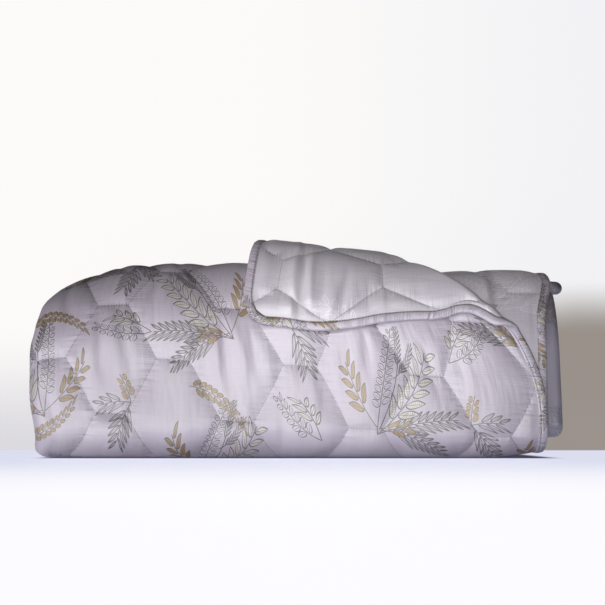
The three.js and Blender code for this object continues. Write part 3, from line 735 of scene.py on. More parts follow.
def printed_side(mesh, fine, coarse):
    """Laces the printed side, fine where the quilting shows."""
    shown = outer_face(mesh, fine, 1, quilt_columns)
    tips = [
        [row.base[-1]] + mesh.row(zone_points("left", LEFT_TURN), t, 1)
        for row, t in zip(shown, fine)
    ]
    mesh.lace_all(tips, PRINTED)

    # The outer ply where it is hidden inside
    hidden = [plain_row(mesh, t, 1, LEFT_TURN) for t in coarse if t > fine[-1] + 6]
    mesh.lace_all(hidden, PRINTED)
    mesh.lace(whole(shown[-1]) + tips[-1][1:], hidden[0], PRINTED)

    columns = inner_columns((0.62, 0.74, 0.87), [k / 9 for k in range(9)])
    rest = [rest_row(mesh, t, columns + ply_columns("two"), 1) for t in coarse]
    mesh.lace_all(rest, PRINTED)
    mesh.lace(mesh.ends(tips + hidden, -1), mesh.ends(rest, 0), PRINTED, True)
    return shown, tips, hidden, rest


def reverse_side(mesh, fine, coarse):
    """Laces the reverse side, fine where the corner is turned over and beside it."""
    turned_rows = [t for t in fine if t < TURNED_TO]
    turned = outer_face(mesh, turned_rows, -1, lying_columns)
    under = [plain_row(mesh, t, -1, ()) for t in coarse if t > turned_rows[-1] + 4]
    mesh.lace_all(under, REVERSE, True)
    mesh.lace(whole(turned[-1]), under[0], REVERSE, True)

    columns = inner_columns((0.25, 0.5, 0.75), (0, 0.33, 0.67))
    lining = [mesh.row(columns, t, -1) for t in coarse]
    mesh.lace_all(lining, REVERSE, True)
    mesh.lace(mesh.ends([row.base for row in turned] + under, -1), mesh.ends(lining, 0), REVERSE)

    # The second ply, which shows beside the turned corner
    extra = [t for t in fine if 60 < t < BESIDE_TO + 10 and min(abs(t - c) for c in coarse) > 2.2]
    second = []
    for t in sorted(coarse + extra):
        columns = ply_columns("two", BESIDE_FLAP_X if t < BESIDE_TO + 20 else PLY_X)
        second.append(rest_row(mesh, t, columns, -1))
    mesh.lace_all(second, REVERSE, True)
    mesh.lace(mesh.ends(lining, -1), mesh.ends(second, 0), REVERSE)
    return turned, under, lining, second


def build_cloth():
    """Laces both sides of the whole folded cloth and its rims."""
    mesh = ClothMesh()
    fine, coarse = shown_rows(), stack_rows()
    shown, tips, hidden, rest = printed_side(mesh, fine, coarse)
    turned, under, lining, second = reverse_side(mesh, fine, coarse)
    edge = mesh.ends([row.flap for row in shown] + hidden, 0)
    mesh.lace(edge, mesh.ends([row.flap for row in turned] + under, 0), PRINTED)
    mesh.lace(mesh.ends(rest, -1), mesh.ends(second, -1), PRINTED, True)
    top = whole(shown[0]) + tips[0][1:] + rest[0]
    mesh.lace(top, whole(turned[0]) + lining[0] + second[0], PRINTED, True)
    mesh.lace(hidden[-1] + rest[-1], under[-1] + lining[-1] + second[-1], PRINTED)
    return mesh


# Thickness of the cloth: sewn thin on the seams, and full between them where nothing presses on it

# Soft gathers of the printed side. Columns: u at the middle, v from and to, lean, half width, depth
GATHERS = (
    (62, 298, 396, 0.06, 5.0, 1.7),
    (78, 292, 410, 0.10, 4.2, -1.2),
    (92, 300, 418, 0.08, 5.5, 2.2),
    (107, 306, 402, 0.05, 4.0, -1.1),
    (120, 318, 400, 0.10, 4.5, 1.2),
    (208, 330, 420, -0.04, 4.5, 1.2),
    (222, 304, 398, 0.06, 5.0, -1.3),
    (236, 300, 412, 0.10, 5.5, 2.0),
    (252, 316, 404, 0.06, 4.6, -1.2),
    (268, 312, 392, 0.12, 5.0, 1.6),
    (344, 336, 436, 0.05, 5.2, 1.4),
    (361, 330, 408, 0.08, 4.6, -1.0),
    (398, 318, 380, -0.10, 5.0, 1.2),
    (472, 322, 402, 0.06, 5.0, 1.5),
    (488, 316, 392, 0.04, 4.6, -1.2),
    (504, 322, 396, 0.02, 5.2, 1.3),
    (150, 246, 320, -0.20, 5.5, 1.4),
    (40, 236, 330, 0.22, 6.0, 1.8),
    (134, 408, 470, 0.10, 6.0, 1.1),
    (300, 412, 476, -0.12, 6.0, 1.2),
    (430, 420, 478, 0.10, 6.0, 1.1),
    (28, 388, 470, 0.12, 6.0, 1.6),
    (180, 168, 250, 0.10, 7.0, 1.4),
    (96, 150, 240, -0.12, 7.0, 1.4),
)
# Creases of the turned corner. Columns: t, distance past the fold from and to, lean, half width, depth
TURNED_CREASES = (
    (66, 132, 330, 0.02, 4.2, 4.6),
    (56, 120, 320, 0.02, 5.5, -2.0),
    (77, 120, 320, -0.03, 5.5, -2.4),
    (92, 150, 260, -0.06, 4.4, 1.6),
    (106, 168, 250, -0.08, 4.8, -1.5),
    (120, 118, 226, -0.14, 4.2, 2.2),
    (131, 140, 220, -0.12, 4.6, -1.4),
    (150, 110, 190, -0.18, 4.4, 1.8),
    (176, 80, 156, -0.20, 4.6, 1.5),
    (205, 52, 120, -0.20, 4.6, 1.3),
    (28, 40, 170, 0.05, 5.0, 1.3),
    (40, 180, 290, 0.06, 4.6, 1.4),
    (118, 20, 76, 0.20, 5.0, 1.3),
    (184, 14, 60, 0.24, 5.0, 1.2),
)


def troughs(table, across, down):
    """Depth of soft troughs that run down at a lean; a negative depth is a ridge."""
    depth = np.zeros_like(across)
    for middle, start, stop, lean, half, deep in table:
        f = np.clip((down - start) / (stop - start), 0, 1)
        line = middle + lean * (down - (start + stop) / 2) + 1.6 * np.sin(down / 19 + middle)
        depth += deep * np.sin(math.pi * f) ** 1.2 * np.exp(-(((across - line) / half) ** 2))
    return depth


# The outer ply's quilting swells up to here, just round the left fold
PUFFED_TO_W = OUTER_WIDTH + 14


def on_flap(w, t):
    """Whether a place is on a row of the outer ply whose end is turned over."""
    return (w < PUFFED_TO_W) & (t < FOLD_END_T)


def seam_puff(w, t, seam_half, puff, reach):
    """Half thickness by distance from the seams, and how free gathers are there, up to 1."""
    seam = seam_distance(*quilt_place(w, t))
    free = 1 - np.exp(-((seam / HELD_REACH) ** 2))
    return lerp(seam_half, puff * 1000, 1 - np.exp(-seam / reach)), free


def printed_half(w, t, s, over, settings):
    """Half thickness on the printed side, over being how far the place lies past the fold."""
    half, free = seam_puff(w, t, SEAM_HALF, settings.puff, PUFF_REACH)
    under = smooth(BOTTOM_FROM - 25, BOTTOM_FROM, s) * (1 - smooth(BOTTOM_TO, BOTTOM_TO + 25, s))
    half = lerp(half, HALF, np.maximum(under, smooth(SHOWN_TO - 80, SHOWN_TO - 10, t)))
    flap = on_flap(w, t)
    half = lerp(half, FOLDED_HALF, np.where(flap, smooth(-25, -5, over), 0))
    free = free * np.where(flap, 1 - smooth(-40, -20, over), 1)
    half = half - settings.gathers * troughs(GATHERS, *quilt_place(w, t)) * free
    return np.where(w < PUFFED_TO_W, half, HALF)


def reverse_half(w, t, x, s, over, settings):
    """Half thickness on the reverse side, full on the turned corner and beside it."""
    half, free = seam_puff(w, t, REVERSE_SEAM_HALF, settings.reverse_puff, REVERSE_PUFF_REACH)
    flap = on_flap(w, t)
    turned = np.where(flap, smooth(0, 20, over), 0)
    beside = (w > ZONES["two"][0]) & (s < BESIDE_TO)
    shown = np.where(beside, smooth(-5, 25, x - FOLD_X_AT_END - BESIDE_SLOPE * s), turned)
    creased = troughs(TURNED_CREASES, t, over) * turned * (0.3 + 0.7 * free)
    return lerp(HALF, half, shown) - settings.creases * np.where(flap, creased, 0)


def cloth_half(w, t, facing, settings):
    """Half thickness of the cloth on the printed side, 1, or the reverse side, -1."""
    x, s, _ = place_cloth(w, t)
    over = EDGE_ONE_X - w - fold_at(t)[0]
    printed = printed_half(w, t, s, over, settings)
    half = np.where(facing > 0, printed, reverse_half(w, t, x, s, over, settings))
    rim = np.minimum(np.minimum(w, CLOTH_WIDTH - w), np.minimum(t, CLOTH_LENGTH - t)) + EDGE_OUT
    return lerp(RIM_HALF, half, smooth(6, 18, rim))


def cloth_points(mesh, settings):
    """Where the points of the mesh lie in metres, and their places on the flat cloth."""
    w, t, facing = (np.array(v, float) for v in (mesh.w, mesh.t, mesh.facing))
    point, _, _, normal = cloth_frame(w, t)
    offset = facing * cloth_half(w, t, facing, settings)
    p = to_metres(soften(point + normal * offset[:, None]))
    p[:, 2] = np.maximum(p[:, 2], 0)
    u, v = quilt_place(w, t)
    return p, np.stack((u, v), 1) / 1000


# The binding, one strip around the whole edge of the cloth

# Columns: out from the sewing line, half thickness there
BINDING_OUTLINE = (
    (-1.0, 2.4),
    (-0.8, 3.1),
    (1.6, 3.5),
    (4.6, 3.5),
    (7.4, 3.1),
    (9.2, 1.9),
    (9.8, 0.0),
)
# Places around the strip where it is sewn, on the printed side and the reverse side
STRIP_LINES = (3.2, 24.6)
# How far the sewing draws the strip in and out, and in what waves along it
PUCKER_DEPTH = 0.3
PUCKER_WAVES = (2.3, 31.0, 47.0)
CORNER_STEPS = 8


def even(start, stop, step):
    """Places from start up to stop, evenly and about a step apart."""
    count = max(1, round(abs(stop - start) / step))
    return [lerp(start, stop, k / count) for k in range(count)]


def edge_path():
    """The sewing line once around the cloth: w, t and the outward direction in w and t."""
    r = SEWN_RADIUS
    far_w, far_t = CLOTH_WIDTH - r, CLOTH_LENGTH - r
    path = []

    def corner(w, t, start):
        for k in range(CORNER_STEPS):
            angle = math.radians(start + k * 90 / CORNER_STEPS)
            out = (math.cos(angle), math.sin(angle))
            path.append((w + r * out[0], t + r * out[1], *out))

    for a, b, step in ((far_t, SHOWN_TO, 16), (SHOWN_TO, FINE_TO, 8), (FINE_TO, r, 3.5)):
        path.extend((0.0, t, -1.0, 0.0) for t in even(a, b, step))
    corner(r, r, 180)
    marks = [(r, OUTER_WIDTH, 3.5)]
    for name, step in (("left", 3), ("four", 9), ("right", 1.6), ("three", 9), ("inner", 2), ("two", 5)):
        start, length = ZONES[name]
        marks.append((start, min(start + length, far_w), step))
    for a, b, step in marks:
        path.extend((w, 0.0, 0.0, -1.0) for w in even(a, b, step))
    corner(far_w, r, 270)
    near_t = BESIDE_TO + 30
    for a, b, step in ((r, near_t, 3.5), (near_t, SHOWN_TO, 8), (SHOWN_TO, far_t, 16)):
        path.extend((CLOTH_WIDTH, t, 1.0, 0.0) for t in even(a, b, step))
    corner(far_w, far_t, 0)
    for a, b, step in reversed(marks):
        path.extend((w, CLOTH_LENGTH, 0.0, 1.0) for w in even(b, a, max(step, 2) * 2))
    corner(r, far_t, 90)
    return np.array(path)


def binding_points():
    """Points of the binding ring by ring, their places on its strip and how many make a ring."""
    path = edge_path()
    w, t = path[:, 0], path[:, 1]
    point, across, down, facing = cloth_frame(w, t)
    hint = across * path[:, 2:3] + down * path[:, 3:4]
    tangent = np.roll(point, -1, 0) - np.roll(point, 1, 0)
    side = np.cross(tangent, facing)
    side *= np.sign((side * hint).sum(1, keepdims=True))
    side /= np.linalg.norm(side, axis=1, keepdims=True)
    length = np.cumsum(np.linalg.norm(np.roll(point, -1, 0) - point, axis=1))
    length = np.concatenate(([0], length[:-1]))

    outline = [(out, half) for out, half in BINDING_OUTLINE] + [
        (out, -half) for out, half in BINDING_OUTLINE[-2::-1]
    ]
    short, longer, longest = (length / wave for wave in PUCKER_WAVES)
    pucker = PUCKER_DEPTH * np.sin(short + 1.7 * np.sin(longer)) * (0.6 + 0.4 * np.sin(longest + 1))
    rings, coordinates = [], []
    around = 0.0
    for k, (out, half) in enumerate(outline):
        if k:
            around += math.hypot(out - outline[k - 1][0], half - outline[k - 1][1])
        swell = half + np.sign(half) * pucker * smooth(-1, 3, out)
        rings.append(soften(point + side * out + facing * swell[:, None]))
        coordinates.append(np.stack((length, np.full_like(length, around)), 1))
    points = to_metres(np.stack(rings, 1).reshape(-1, 3))
    return points, np.stack(coordinates, 1).reshape(-1, 2) / 1000, len(outline)


def fabric_object(name, points, faces, uv, materials, sides=None):
    """A smooth-shaded mesh with the cloth's own coordinates as its UV map."""
    data = bpy.data.meshes.new(name)
    data.from_pydata(points.tolist(), [], faces)
    layer = data.uv_layers.new(name="cloth")
    corners = np.zeros(len(data.loops), np.int32)
    data.loops.foreach_get("vertex_index", corners)
    layer.data.foreach_set("uv", uv[corners].astype(np.float32).ravel())
    for material in materials:
        data.materials.append(material)
    if sides is not None:
        data.polygons.foreach_set("material_index", np.array(sides, np.int32))
    data.polygons.foreach_set("use_smooth", np.ones(len(data.polygons), bool))
    data.update()
    piece = bpy.data.objects.new(name, data)
    bpy.context.collection.objects.link(piece)
    return piece


def ring_faces(rings, around):
    """Quads of a closed strip of closed rings."""
    faces = []
    for i in range(rings):
        a, b = i * around, (i + 1) % rings * around
        for k in range(around):
            m = (k + 1) % around
            faces.append((a + k, a + m, b + m, b + k))
    return faces


def outward(points, faces):
    """The same faces, turned round if they point inwards."""
    corners = np.array([face[:3] for face in faces])
    a, b, c = (points[corners[:, k]] for k in range(3))
    volume = (np.cross(a, b) * c).sum()
    return faces if volume > 0 else [tuple(reversed(face)) for face in faces]


# Materials


class Value:
    """A socket whose sums and products add Math nodes."""

    def __init__(self, look, socket):
        self.look, self.socket = look, socket

    def math(self, operation, *others):
        return self.look.node("ShaderNodeMath", {"operation": operation}, self, *others)

    def __rsub__(self, other):
        return self.look.node("ShaderNodeMath", {"operation": "SUBTRACT"}, other, self)

    def part(self, name):
        """Another output of the same node."""
        return Value(self.look, self.socket.node.outputs[name])

    __add__ = __radd__ = partialmethod(math, "ADD")
    __sub__ = partialmethod(math, "SUBTRACT")
    __mul__ = __rmul__ = partialmethod(math, "MULTIPLY")
    __truediv__ = partialmethod(math, "DIVIDE")
    __lt__ = partialmethod(math, "LESS_THAN")
    __gt__ = partialmethod(math, "GREATER_THAN")
    __abs__ = partialmethod(math, "ABSOLUTE")
    least = partialmethod(math, "MINIMUM")
    most = partialmethod(math, "MAXIMUM")
    # This times a factor, plus a term
    plus = partialmethod(math, "MULTIPLY_ADD")


class Look:
    """A node tree that gives a material or the world its look."""

    def __init__(self, owner, surface="Principled BSDF"):
        owner.use_nodes = True
        self.owner, self.tree = owner, owner.node_tree
        self.surface = self.tree.nodes[surface]

    def node(self, kind, settings, *inputs, out=0, named=None):
        """Adds a node, with inputs in order or, in named, by name or number."""
        made = self.tree.nodes.new(kind)
        for key, value in settings.items():
            setattr(made, key, value)
        pairs = list(zip(made.inputs, inputs)) + [(made.inputs[k], v) for k, v in (named or {}).items()]
        for socket, value in pairs:
            self.give(socket, value)
        return Value(self, made.outputs[out])

    def give(self, socket, value):
        """Links a socket to a value made of nodes, or sets it to a number or colour."""
        if isinstance(value, Value):
            self.tree.links.new(value.socket, socket)
        elif isinstance(value, (tuple, list)):
            socket.default_value = (*value, 1.0)[: len(socket.default_value)]
        elif value is not None:
            socket.default_value = value

    def set(self, **values):
        for name, value in values.items():
            self.give(self.surface.inputs[name.replace("_", " ")], value)

    def mix(self, factor, a, b):
        return self.node("ShaderNodeMix", {"data_type": "RGBA"}, factor, out=2, named={6: a, 7: b})

    def scale(self, colour, factor):
        settings = {"operation": "SCALE"}
        return self.node("ShaderNodeVectorMath", settings, colour, named={"Scale": factor})

    def fade(self, value, start, stop, low=0.0, high=1.0):
        settings = {"interpolation_type": "SMOOTHSTEP"}
        return self.node("ShaderNodeMapRange", settings, value, start, stop, low, high)

    def noise(self, vector, scale, detail=2.0):
        return self.node("ShaderNodeTexNoise", {}, vector, named={"Scale": scale, "Detail": detail})

    def vector(self, x, y, z=0.0):
        return self.node("ShaderNodeCombineXYZ", {}, x, y, z)

    def split(self, vector):
        """The X and Y of a vector."""
        x = self.node("ShaderNodeSeparateXYZ", {}, vector)
        return x, x.part("Y")

    def cloth_place(self):
        """The cloth's own coordinates in millimetres."""
        x, y = self.split(self.node("ShaderNodeUVMap", {"uv_map": "cloth"}))
        return x * 1000.0, y * 1000.0

    def bump(self, height, strength=1.0):
        """Raises the surface by a height in millimetres."""
        normal = self.node("ShaderNodeBump", {}, strength, named={"Distance": 0.001, "Height": height})
        self.set(Normal=normal)


# The print: sprays and sprigs, each a few stems with leaves on both sides

Stem = namedtuple("Stem", "x y angle length bend bare pitch slant leaf width round tint")
CREAM, PALE, GOLD, DARK = range(4)

SPRAY = (
    Stem(-3, -52, -74, 70, -0.0050, 12, 7.6, 38, 22, 1.9, 1.0, PALE),
    Stem(0, -58, -50, 92, -0.0022, 20, 8.4, 36, 24, 2.0, 1.0, PALE),
    Stem(0, -58, -33, 112, 0.0024, 28, 14.5, 44, 27, 4.4, 1.0, CREAM),
    Stem(0, -58, 12, 124, -0.0016, 34, 8.6, 60, 10, 3.1, 0.6, PALE),
    Stem(0, -58, -9, 126, 0.0010, 86, 5.4, 28, 10, 0.5, 1.0, DARK),
    Stem(-3, 10, -40, 44, 0.0080, 8, 5.4, 28, 10, 0.5, 1.0, DARK),
    Stem(2, -50, 54, 76, -0.0034, 14, 13.5, 42, 21, 3.9, 1.0, GOLD),
    Stem(0, -50, -82, 34, 0.0060, 6, 13.5, 42, 16, 3.6, 1.0, GOLD),
)
ARCH = (
    Stem(-28, -12, 38, 68, -0.0095, 3, 6.8, 56, 10, 2.4, 0.8, GOLD),
)
BERRIES = (
    Stem(2, 12, 188, 48, 0.0040, 6, 9.0, 34, 25, 2.1, 1.0, PALE),
    Stem(2, 12, 122, 36, 0.0080, 4, 9.5, 36, 21, 2.1, 1.0, PALE),
    Stem(2, 12, 50, 34, 0.0060, 7, 8.6, 62, 7.6, 3.5, 0.5, GOLD),
)
TWIG = (
    Stem(0, -30, -18, 64, 0.0060, 10, 8.6, 58, 10, 3.2, 0.6, PALE),
    Stem(0, -30, 34, 50, -0.0050, 12, 10.5, 44, 18, 3.0, 1.0, CREAM),
)
PRINT_WIDE, PRINT_HIGH = 200.0, 190.0
# Columns: motif, place in the repeat across and along, turn either way in degrees
PRINT = (
    (SPRAY, 0.1, 0.02, 34),
    (ARCH, 0.1, 0.52, 150),
    (BERRIES, 0.6, 0.27, 60),
    (TWIG, 0.6, 0.77, 100),
)
# Half widths of the printed lines, and how far apart the veins of a large leaf are
LINE_HALF = 0.56
STALK_HALF = 0.55
RIB_HALF = 0.25
VEIN_PITCH = 2.7


def draw_stem(look, colour, x, y, stem, ink, tints):
    """Draws one stem with its leaves over a colour; x runs right and y up, in millimetres."""
    angle, slant = math.radians(stem.angle), math.radians(stem.slant)
    sin, cos = math.sin(angle), math.cos(angle)
    along = x.plus(sin, y.plus(cos, -stem.x * sin - stem.y * cos))
    across = x.plus(cos, y.plus(-sin, stem.y * sin - stem.x * cos))
    sideways = (along * along).plus(-stem.bend, across)
    away = abs(sideways)
    leaf_foot = sideways.math("SIGN").plus(stem.pitch / 4, away.plus(-1 / math.tan(slant), along))
    leaf_at = (leaf_foot / stem.pitch).math("ROUND") * stem.pitch
    beside = abs(leaf_foot - leaf_at) * math.sin(slant)
    there = (leaf_at > stem.bare) * (leaf_at < stem.length)
    size = leaf_at.plus(-0.45 / stem.length, 1.12)
    size = size * leaf_at.plus(-7 / stem.length, 7.5).least(1.0)
    down_leaf = away.plus(1 / math.sin(slant), -1.4) / size / stem.leaf
    shape = (down_leaf * (1 - down_leaf) * 4.0).most(0.0)
    if stem.round == 1:
        shape = shape * down_leaf.plus(-0.75, 1.3)
    else:
        shape = shape.math("POWER", stem.round)
    half = shape * size * there * stem.width
    edge = (abs(beside - half) < LINE_HALF) * (half > 0.05)
    rib = (beside < RIB_HALF) * (down_leaf < 0.8) * there
    stalk = (away < STALK_HALF) * (along > 0.0) * (along < stem.length)
    line = edge.most(rib).most(stalk)
    if stem.width > 3.4 and stem.round == 1:
        veins = (away.plus(1 / math.sin(slant), beside) / VEIN_PITCH).math("FRACT") < 0.26
        line = line.most(veins * (beside < half) * (0.4 if stem.tint != GOLD else 0.55))
    tint, strength = tints[stem.tint]
    colour = look.mix((beside < half) * strength, colour, tint)
    own_ink = ink if stem.tint != GOLD else tuple(lerp(a, b, 0.2) for a, b in zip(ink, tint))
    return look.mix(line * 0.95, colour, own_ink)


def scatter(look, u, v, across, down, turn, seed):
    """Coordinates within one motif's own patch, turned and mirrored by chance."""
    column = u / PRINT_WIDE + (0.5 - across)
    i = column.math("FLOOR")
    row = i.math("FLOORED_MODULO", 2.0).plus(0.5, v / PRINT_HIGH + (0.5 - down))
    j = row.math("FLOOR")
    x = (column - i - 0.5) * PRINT_WIDE
    y = (j - row + 0.5) * PRINT_HIGH
    chance = look.node("ShaderNodeTexWhiteNoise", {}, look.vector(i, j, seed), out=1)
    red = look.node("ShaderNodeSeparateColor", {}, chance)
    mirror = (red - 0.5).math("SIGN")
    angle = (red.part("Green") - 0.5) * math.radians(2 * turn)
    settings = {"rotation_type": "Z_AXIS"}
    place = look.vector(x * mirror, y)
    return look.split(look.node("ShaderNodeVectorRotate", settings, place, named={"Angle": angle}))


def draw_print(look, colour, u, v, ink, tints, motifs=PRINT):
    for seed, (motif, across, down, turn) in enumerate(motifs):
        x, y = scatter(look, u, v, across, down, turn, seed + 0.5)
        for stem in motif:
            colour = draw_stem(look, colour, x, y, stem, ink, tints)
    return colour


def print_tints(settings, cream, pale, gold, dark):
    """Colours that fill the leaves, with how strongly each does."""
    return {
        CREAM: (settings.cream_colour[:], cream),
        PALE: (settings.face_light[:], pale),
        GOLD: (settings.gold_colour[:], gold),
        DARK: (settings.ink_colour[:], dark),
    }


def seams(look, u, v):
    """Distance to the nearest seam and the length along it, in millimetres."""
    row = (v - HEX_ROW_START) / HEX_ROW
    index = row.math("FLOOR")
    within = row - index
    rise = index.math("FLOORED_MODULO", 2.0) * (within * 2.0 - 1.0) + (1 - within)
    reach = rise * HEX_SLANT
    u0 = u - HEX_EDGE_START
    offset = u0 - ((u0 + reach) / HEX_PERIOD).math("FLOOR") * HEX_PERIOD
    wide_end = reach + HEX_EDGE
    wide = offset < wide_end
    start = wide_end - wide * (wide_end + reach)
    stop = wide * (wide_end + reach - HEX_PERIOD) + (HEX_PERIOD - reach)
    level = (wide * (rise * 2.0 - 1.0) + (1 - rise)) * HEX_ROW
    lean = HEX_ROW / math.hypot(HEX_ROW, HEX_SLANT)
    slanting = (offset - start).least(stop - offset) * lean
    on_level = level < slanting
    run = on_level * (u - v / lean) + v / lean
    return level.least(slanting).most(0.0), run


def stitches(run, settings):
    """One for thread and none for the gaps, by length along the seam."""
    return (run / (settings.stitch_length * 1000)).math("FRACT") < 0.62


def sateen(name, settings, colour, light, puckering, gathering):
    """Soft satin-woven cotton, sewn along the seams; light is the colour of its paler patches."""
    look = Look(bpy.data.materials.new(name))
    u, v = look.cloth_place()
    away, run = seams(look, u, v)
    slub = look.noise(look.vector(u * 0.035, v * 0.9), 1.0, 3.0)
    thread = look.noise(look.vector(u * 0.9, v * 0.05), 1.0, 3.0)
    patches = look.noise(look.vector(u, v), 0.012)
    ground = look.mix(look.fade(patches, 0.3, 0.7), colour, light)
    ground = look.scale(ground, (slub + thread).plus(0.1, 0.9))
    dash = stitches(run, settings) * (away < 0.6)
    puckers = look.noise(look.vector(run * 0.16, away * 0.03), 1.0, 1.0)
    near = (away * -0.14).math("EXPONENT")
    gathers = look.noise(look.vector(u * 0.05, v * 0.011), 1.0)
    height = (puckers - 0.5) * near * puckering + (gathers - 0.5) * gathering
    height = height + slub * 0.16 + thread * 0.16 - dash * 0.35
    return look, u, v, ground, dash, height


# Where the printed side folds back between the plies, at the right end; the printed side is painted
# darker around it as painted shade in the fold
FOLDED_U = EDGE_ONE_X - ZONES["right"][0] - ZONES["right"][1] / 2


def printed_sateen(settings):
    base, light, thread = settings.face_colour[:], settings.face_light[:], settings.thread_and_fold_shade_colour[:]
    look, u, v, ground, dash, height = sateen("printed_sateen", settings, base, light, 2.0, 2.2)
    tints = print_tints(settings, 0.6, 0.5, 0.85, 0.3)
    colour = draw_print(look, ground, u, v, settings.ink_colour[:], tints)
    # Painted shade: around the fold at the right end the printed side turns towards the thread colour, as
    # if that fold lay in shadow
    colour = look.mix(look.fade(abs(u - FOLDED_U), 44, 20) * 0.7, colour, thread)
    look.set(Base_Color=look.mix(dash * 0.55, colour, thread))
    look.set(Roughness=0.54, IOR=1.8, Specular_IOR_Level=1.0)
    look.bump(height)
    return look.owner


def plain_sateen(settings):
    base, light = settings.reverse_colour[:], settings.reverse_light[:]
    look, u, v, ground, dash, height = sateen("plain_sateen", settings, base, light, 1.5, 1.4)
    ghost = tuple(min(1, 1.3 * v) for v in light)
    tints = {tint: (light, 0.2) for tint in range(4)}
    colour = look.mix(0.25, draw_print(look, ground, u, v, ghost, tints, PRINT[:1]), ground)
    look.set(Base_Color=look.mix(dash * 0.5, colour, settings.thread_and_fold_shade_colour[:]))
    look.set(Roughness=0.5, IOR=1.8, Specular_IOR_Level=1.0, Sheen_Weight=0.25, Sheen_Roughness=0.35)
    look.bump(height)
    return look.owner


def binding_sateen(settings):
    look = Look(bpy.data.materials.new("binding_sateen"))
    u, v = look.cloth_place()
    patches = look.noise(look.vector(u * 0.02, v * 0.1), 1.0)
    thread = look.noise(look.vector(u * 0.9, v * 0.1), 1.0, 3.0)
    ground = look.mix(look.fade(patches, 0.3, 0.7), settings.face_colour[:], settings.face_light[:])
    ground = look.scale(ground, thread.plus(0.24, 0.86))
    tints = print_tints(settings, 0.8, 0.6, 0.9, 0.4)
    ink = settings.ink_colour[:]
    colour = draw_print(look, ground, u * 1.3, v * 1.6 - 10.0, ink, tints, PRINT[:1])
    # A line of stitches near the sewn edge on both sides, and creases drawn in by them
    from_sewing = abs(v - STRIP_LINES[0]).least(abs(v - STRIP_LINES[1]))
    dash = stitches(u, settings) * (from_sewing < 0.5)
    colour = look.mix(dash * 0.6, colour, settings.thread_and_fold_shade_colour[:])
    look.set(Base_Color=colour, Roughness=0.52, IOR=1.8, Specular_IOR_Level=1.0)
    ripples = look.noise(look.vector(u * 0.2 + v * 0.06, v * 0.03), 1.0)
    groove = (from_sewing * -0.9).math("EXPONENT")
    look.bump((ripples - 0.5) * 2.8 + thread * 0.2 - groove * 0.9)
    return look.owner


# Add-on


def length_prop(name, description, low, high, default):
    return FloatProperty(
        name=name, description=description, unit="LENGTH", min=low, max=high, default=default
    )


def factor_prop(name, description, default):
    return FloatProperty(
        name=name, description=description, subtype="FACTOR", min=0, max=2, default=default
    )


def power_prop(name, description, default):
    return FloatProperty(name=name, description=description, unit="POWER", min=0, default=default)


def colour_prop(name, description, default):
    return FloatVectorProperty(
        name=name, description=description, subtype="COLOR", size=3, min=0, max=1, default=default
    )


class ClothSettings(bpy.types.PropertyGroup):
    puff: length_prop(
        "Puff", "Half thickness in the middle of a cell, on the printed side", 0.003, 0.009, 0.0064
    )
    reverse_puff: length_prop(
        "Reverse puff", "Half thickness in the middle of a cell, on the reverse side",
        0.003, 0.008, 0.0056,
    )
    gathers: factor_prop("Gathers", "Strength of the soft gathers of the printed side", 1.4)
    creases: factor_prop("Creases", "Strength of the creases of the turned corner", 1.3)
    stitch_length: length_prop(
        "Stitch length", "From one quilting stitch to the next", 0.002, 0.006, 0.0031
    )
    face_colour: colour_prop("Face colour", "Ground colour of the printed side", (0.475, 0.42, 0.485))
    face_light: colour_prop("Face light", "Paler patches of the printed side", (0.525, 0.475, 0.535))
    reverse_colour: colour_prop("Reverse colour", "Colour of the plain reverse side", (0.6, 0.56, 0.615))
    reverse_light: colour_prop("Reverse light", "Paler patches of the reverse side", (0.66, 0.62, 0.665))
    ink_colour: colour_prop("Ink colour", "Outlines of the printed leaves", (0.06, 0.046, 0.042))
    cream_colour: colour_prop("Cream colour", "Filling of the large printed leaves", (0.66, 0.62, 0.48))
    gold_colour: colour_prop("Gold colour", "Gold leaves and berries of the print", (0.35, 0.22, 0.035))
    # Quilting thread, and also the colour of the painted shade in the fold of the printed side at the
    # right end
    thread_and_fold_shade_colour: colour_prop(
        "Thread colour", "Quilting thread and the holes it is sewn through", (0.15, 0.14, 0.19)
    )


class StudioSettings(bpy.types.PropertyGroup):
    key_power: power_prop("Left light", "Power of the wide light at the left", 31)
    front_power: power_prop("Front light", "Power of the wide light in front", 34.5)
    back_power: power_prop(
        "Back light", "Power of the wide light behind, which fills the back and the right end", 55
    )
    corner_power: power_prop(
        "Corner light", "Power of the soft pool of light on the turned corner", 520
    )


class MAKE_OT_quilted_cloth(bpy.types.Operator):
    """Make the folded quilted cloth"""

    bl_idname = "coverlet.quilted_cloth"
    bl_label = "Quilted cloth"

    def execute(self, context):
        settings = context.scene.coverlet_cloth
        mesh = build_cloth()
        points, uv = cloth_points(mesh, settings)
        materials = [printed_sateen(settings), plain_sateen(settings)]
        faces = outward(points, mesh.faces)
        cloth = fabric_object("quilted_panel", points, faces, uv, materials, mesh.sides)
        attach(cloth, "root")
        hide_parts("quilted_cloth")
        return {"FINISHED"}


class MAKE_OT_edge_binding(bpy.types.Operator):
    """Make the binding around the edge of the cloth"""

    bl_idname = "coverlet.edge_binding"
    bl_label = "Edge binding"

    def execute(self, context):
        settings = context.scene.coverlet_cloth
        points, uv, around = binding_points()
        faces = outward(points, ring_faces(len(points) // around, around))
        binding = fabric_object("binding_strip", points, faces, uv, [binding_sateen(settings)])
        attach(binding, "root")
        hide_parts("edge_binding")
        flat = ((CLOTH_WIDTH + 20) / 1000, (CLOTH_LENGTH + 20) / 1000)
        return {"FINISHED"}


# Light from all round. Columns: place from straight below, 0, to straight above, 1, and colour
SKY = (
    (0.0, (0.22, 0.24, 0.55)),
    (0.42, (0.45, 0.47, 0.95)),
    (0.49, (1.0, 0.98, 1.0)),
    (0.54, (0.4, 0.39, 0.42)),
    (0.61, (0.1, 0.1, 0.12)),
    (1.0, (0.1, 0.1, 0.12)),
)
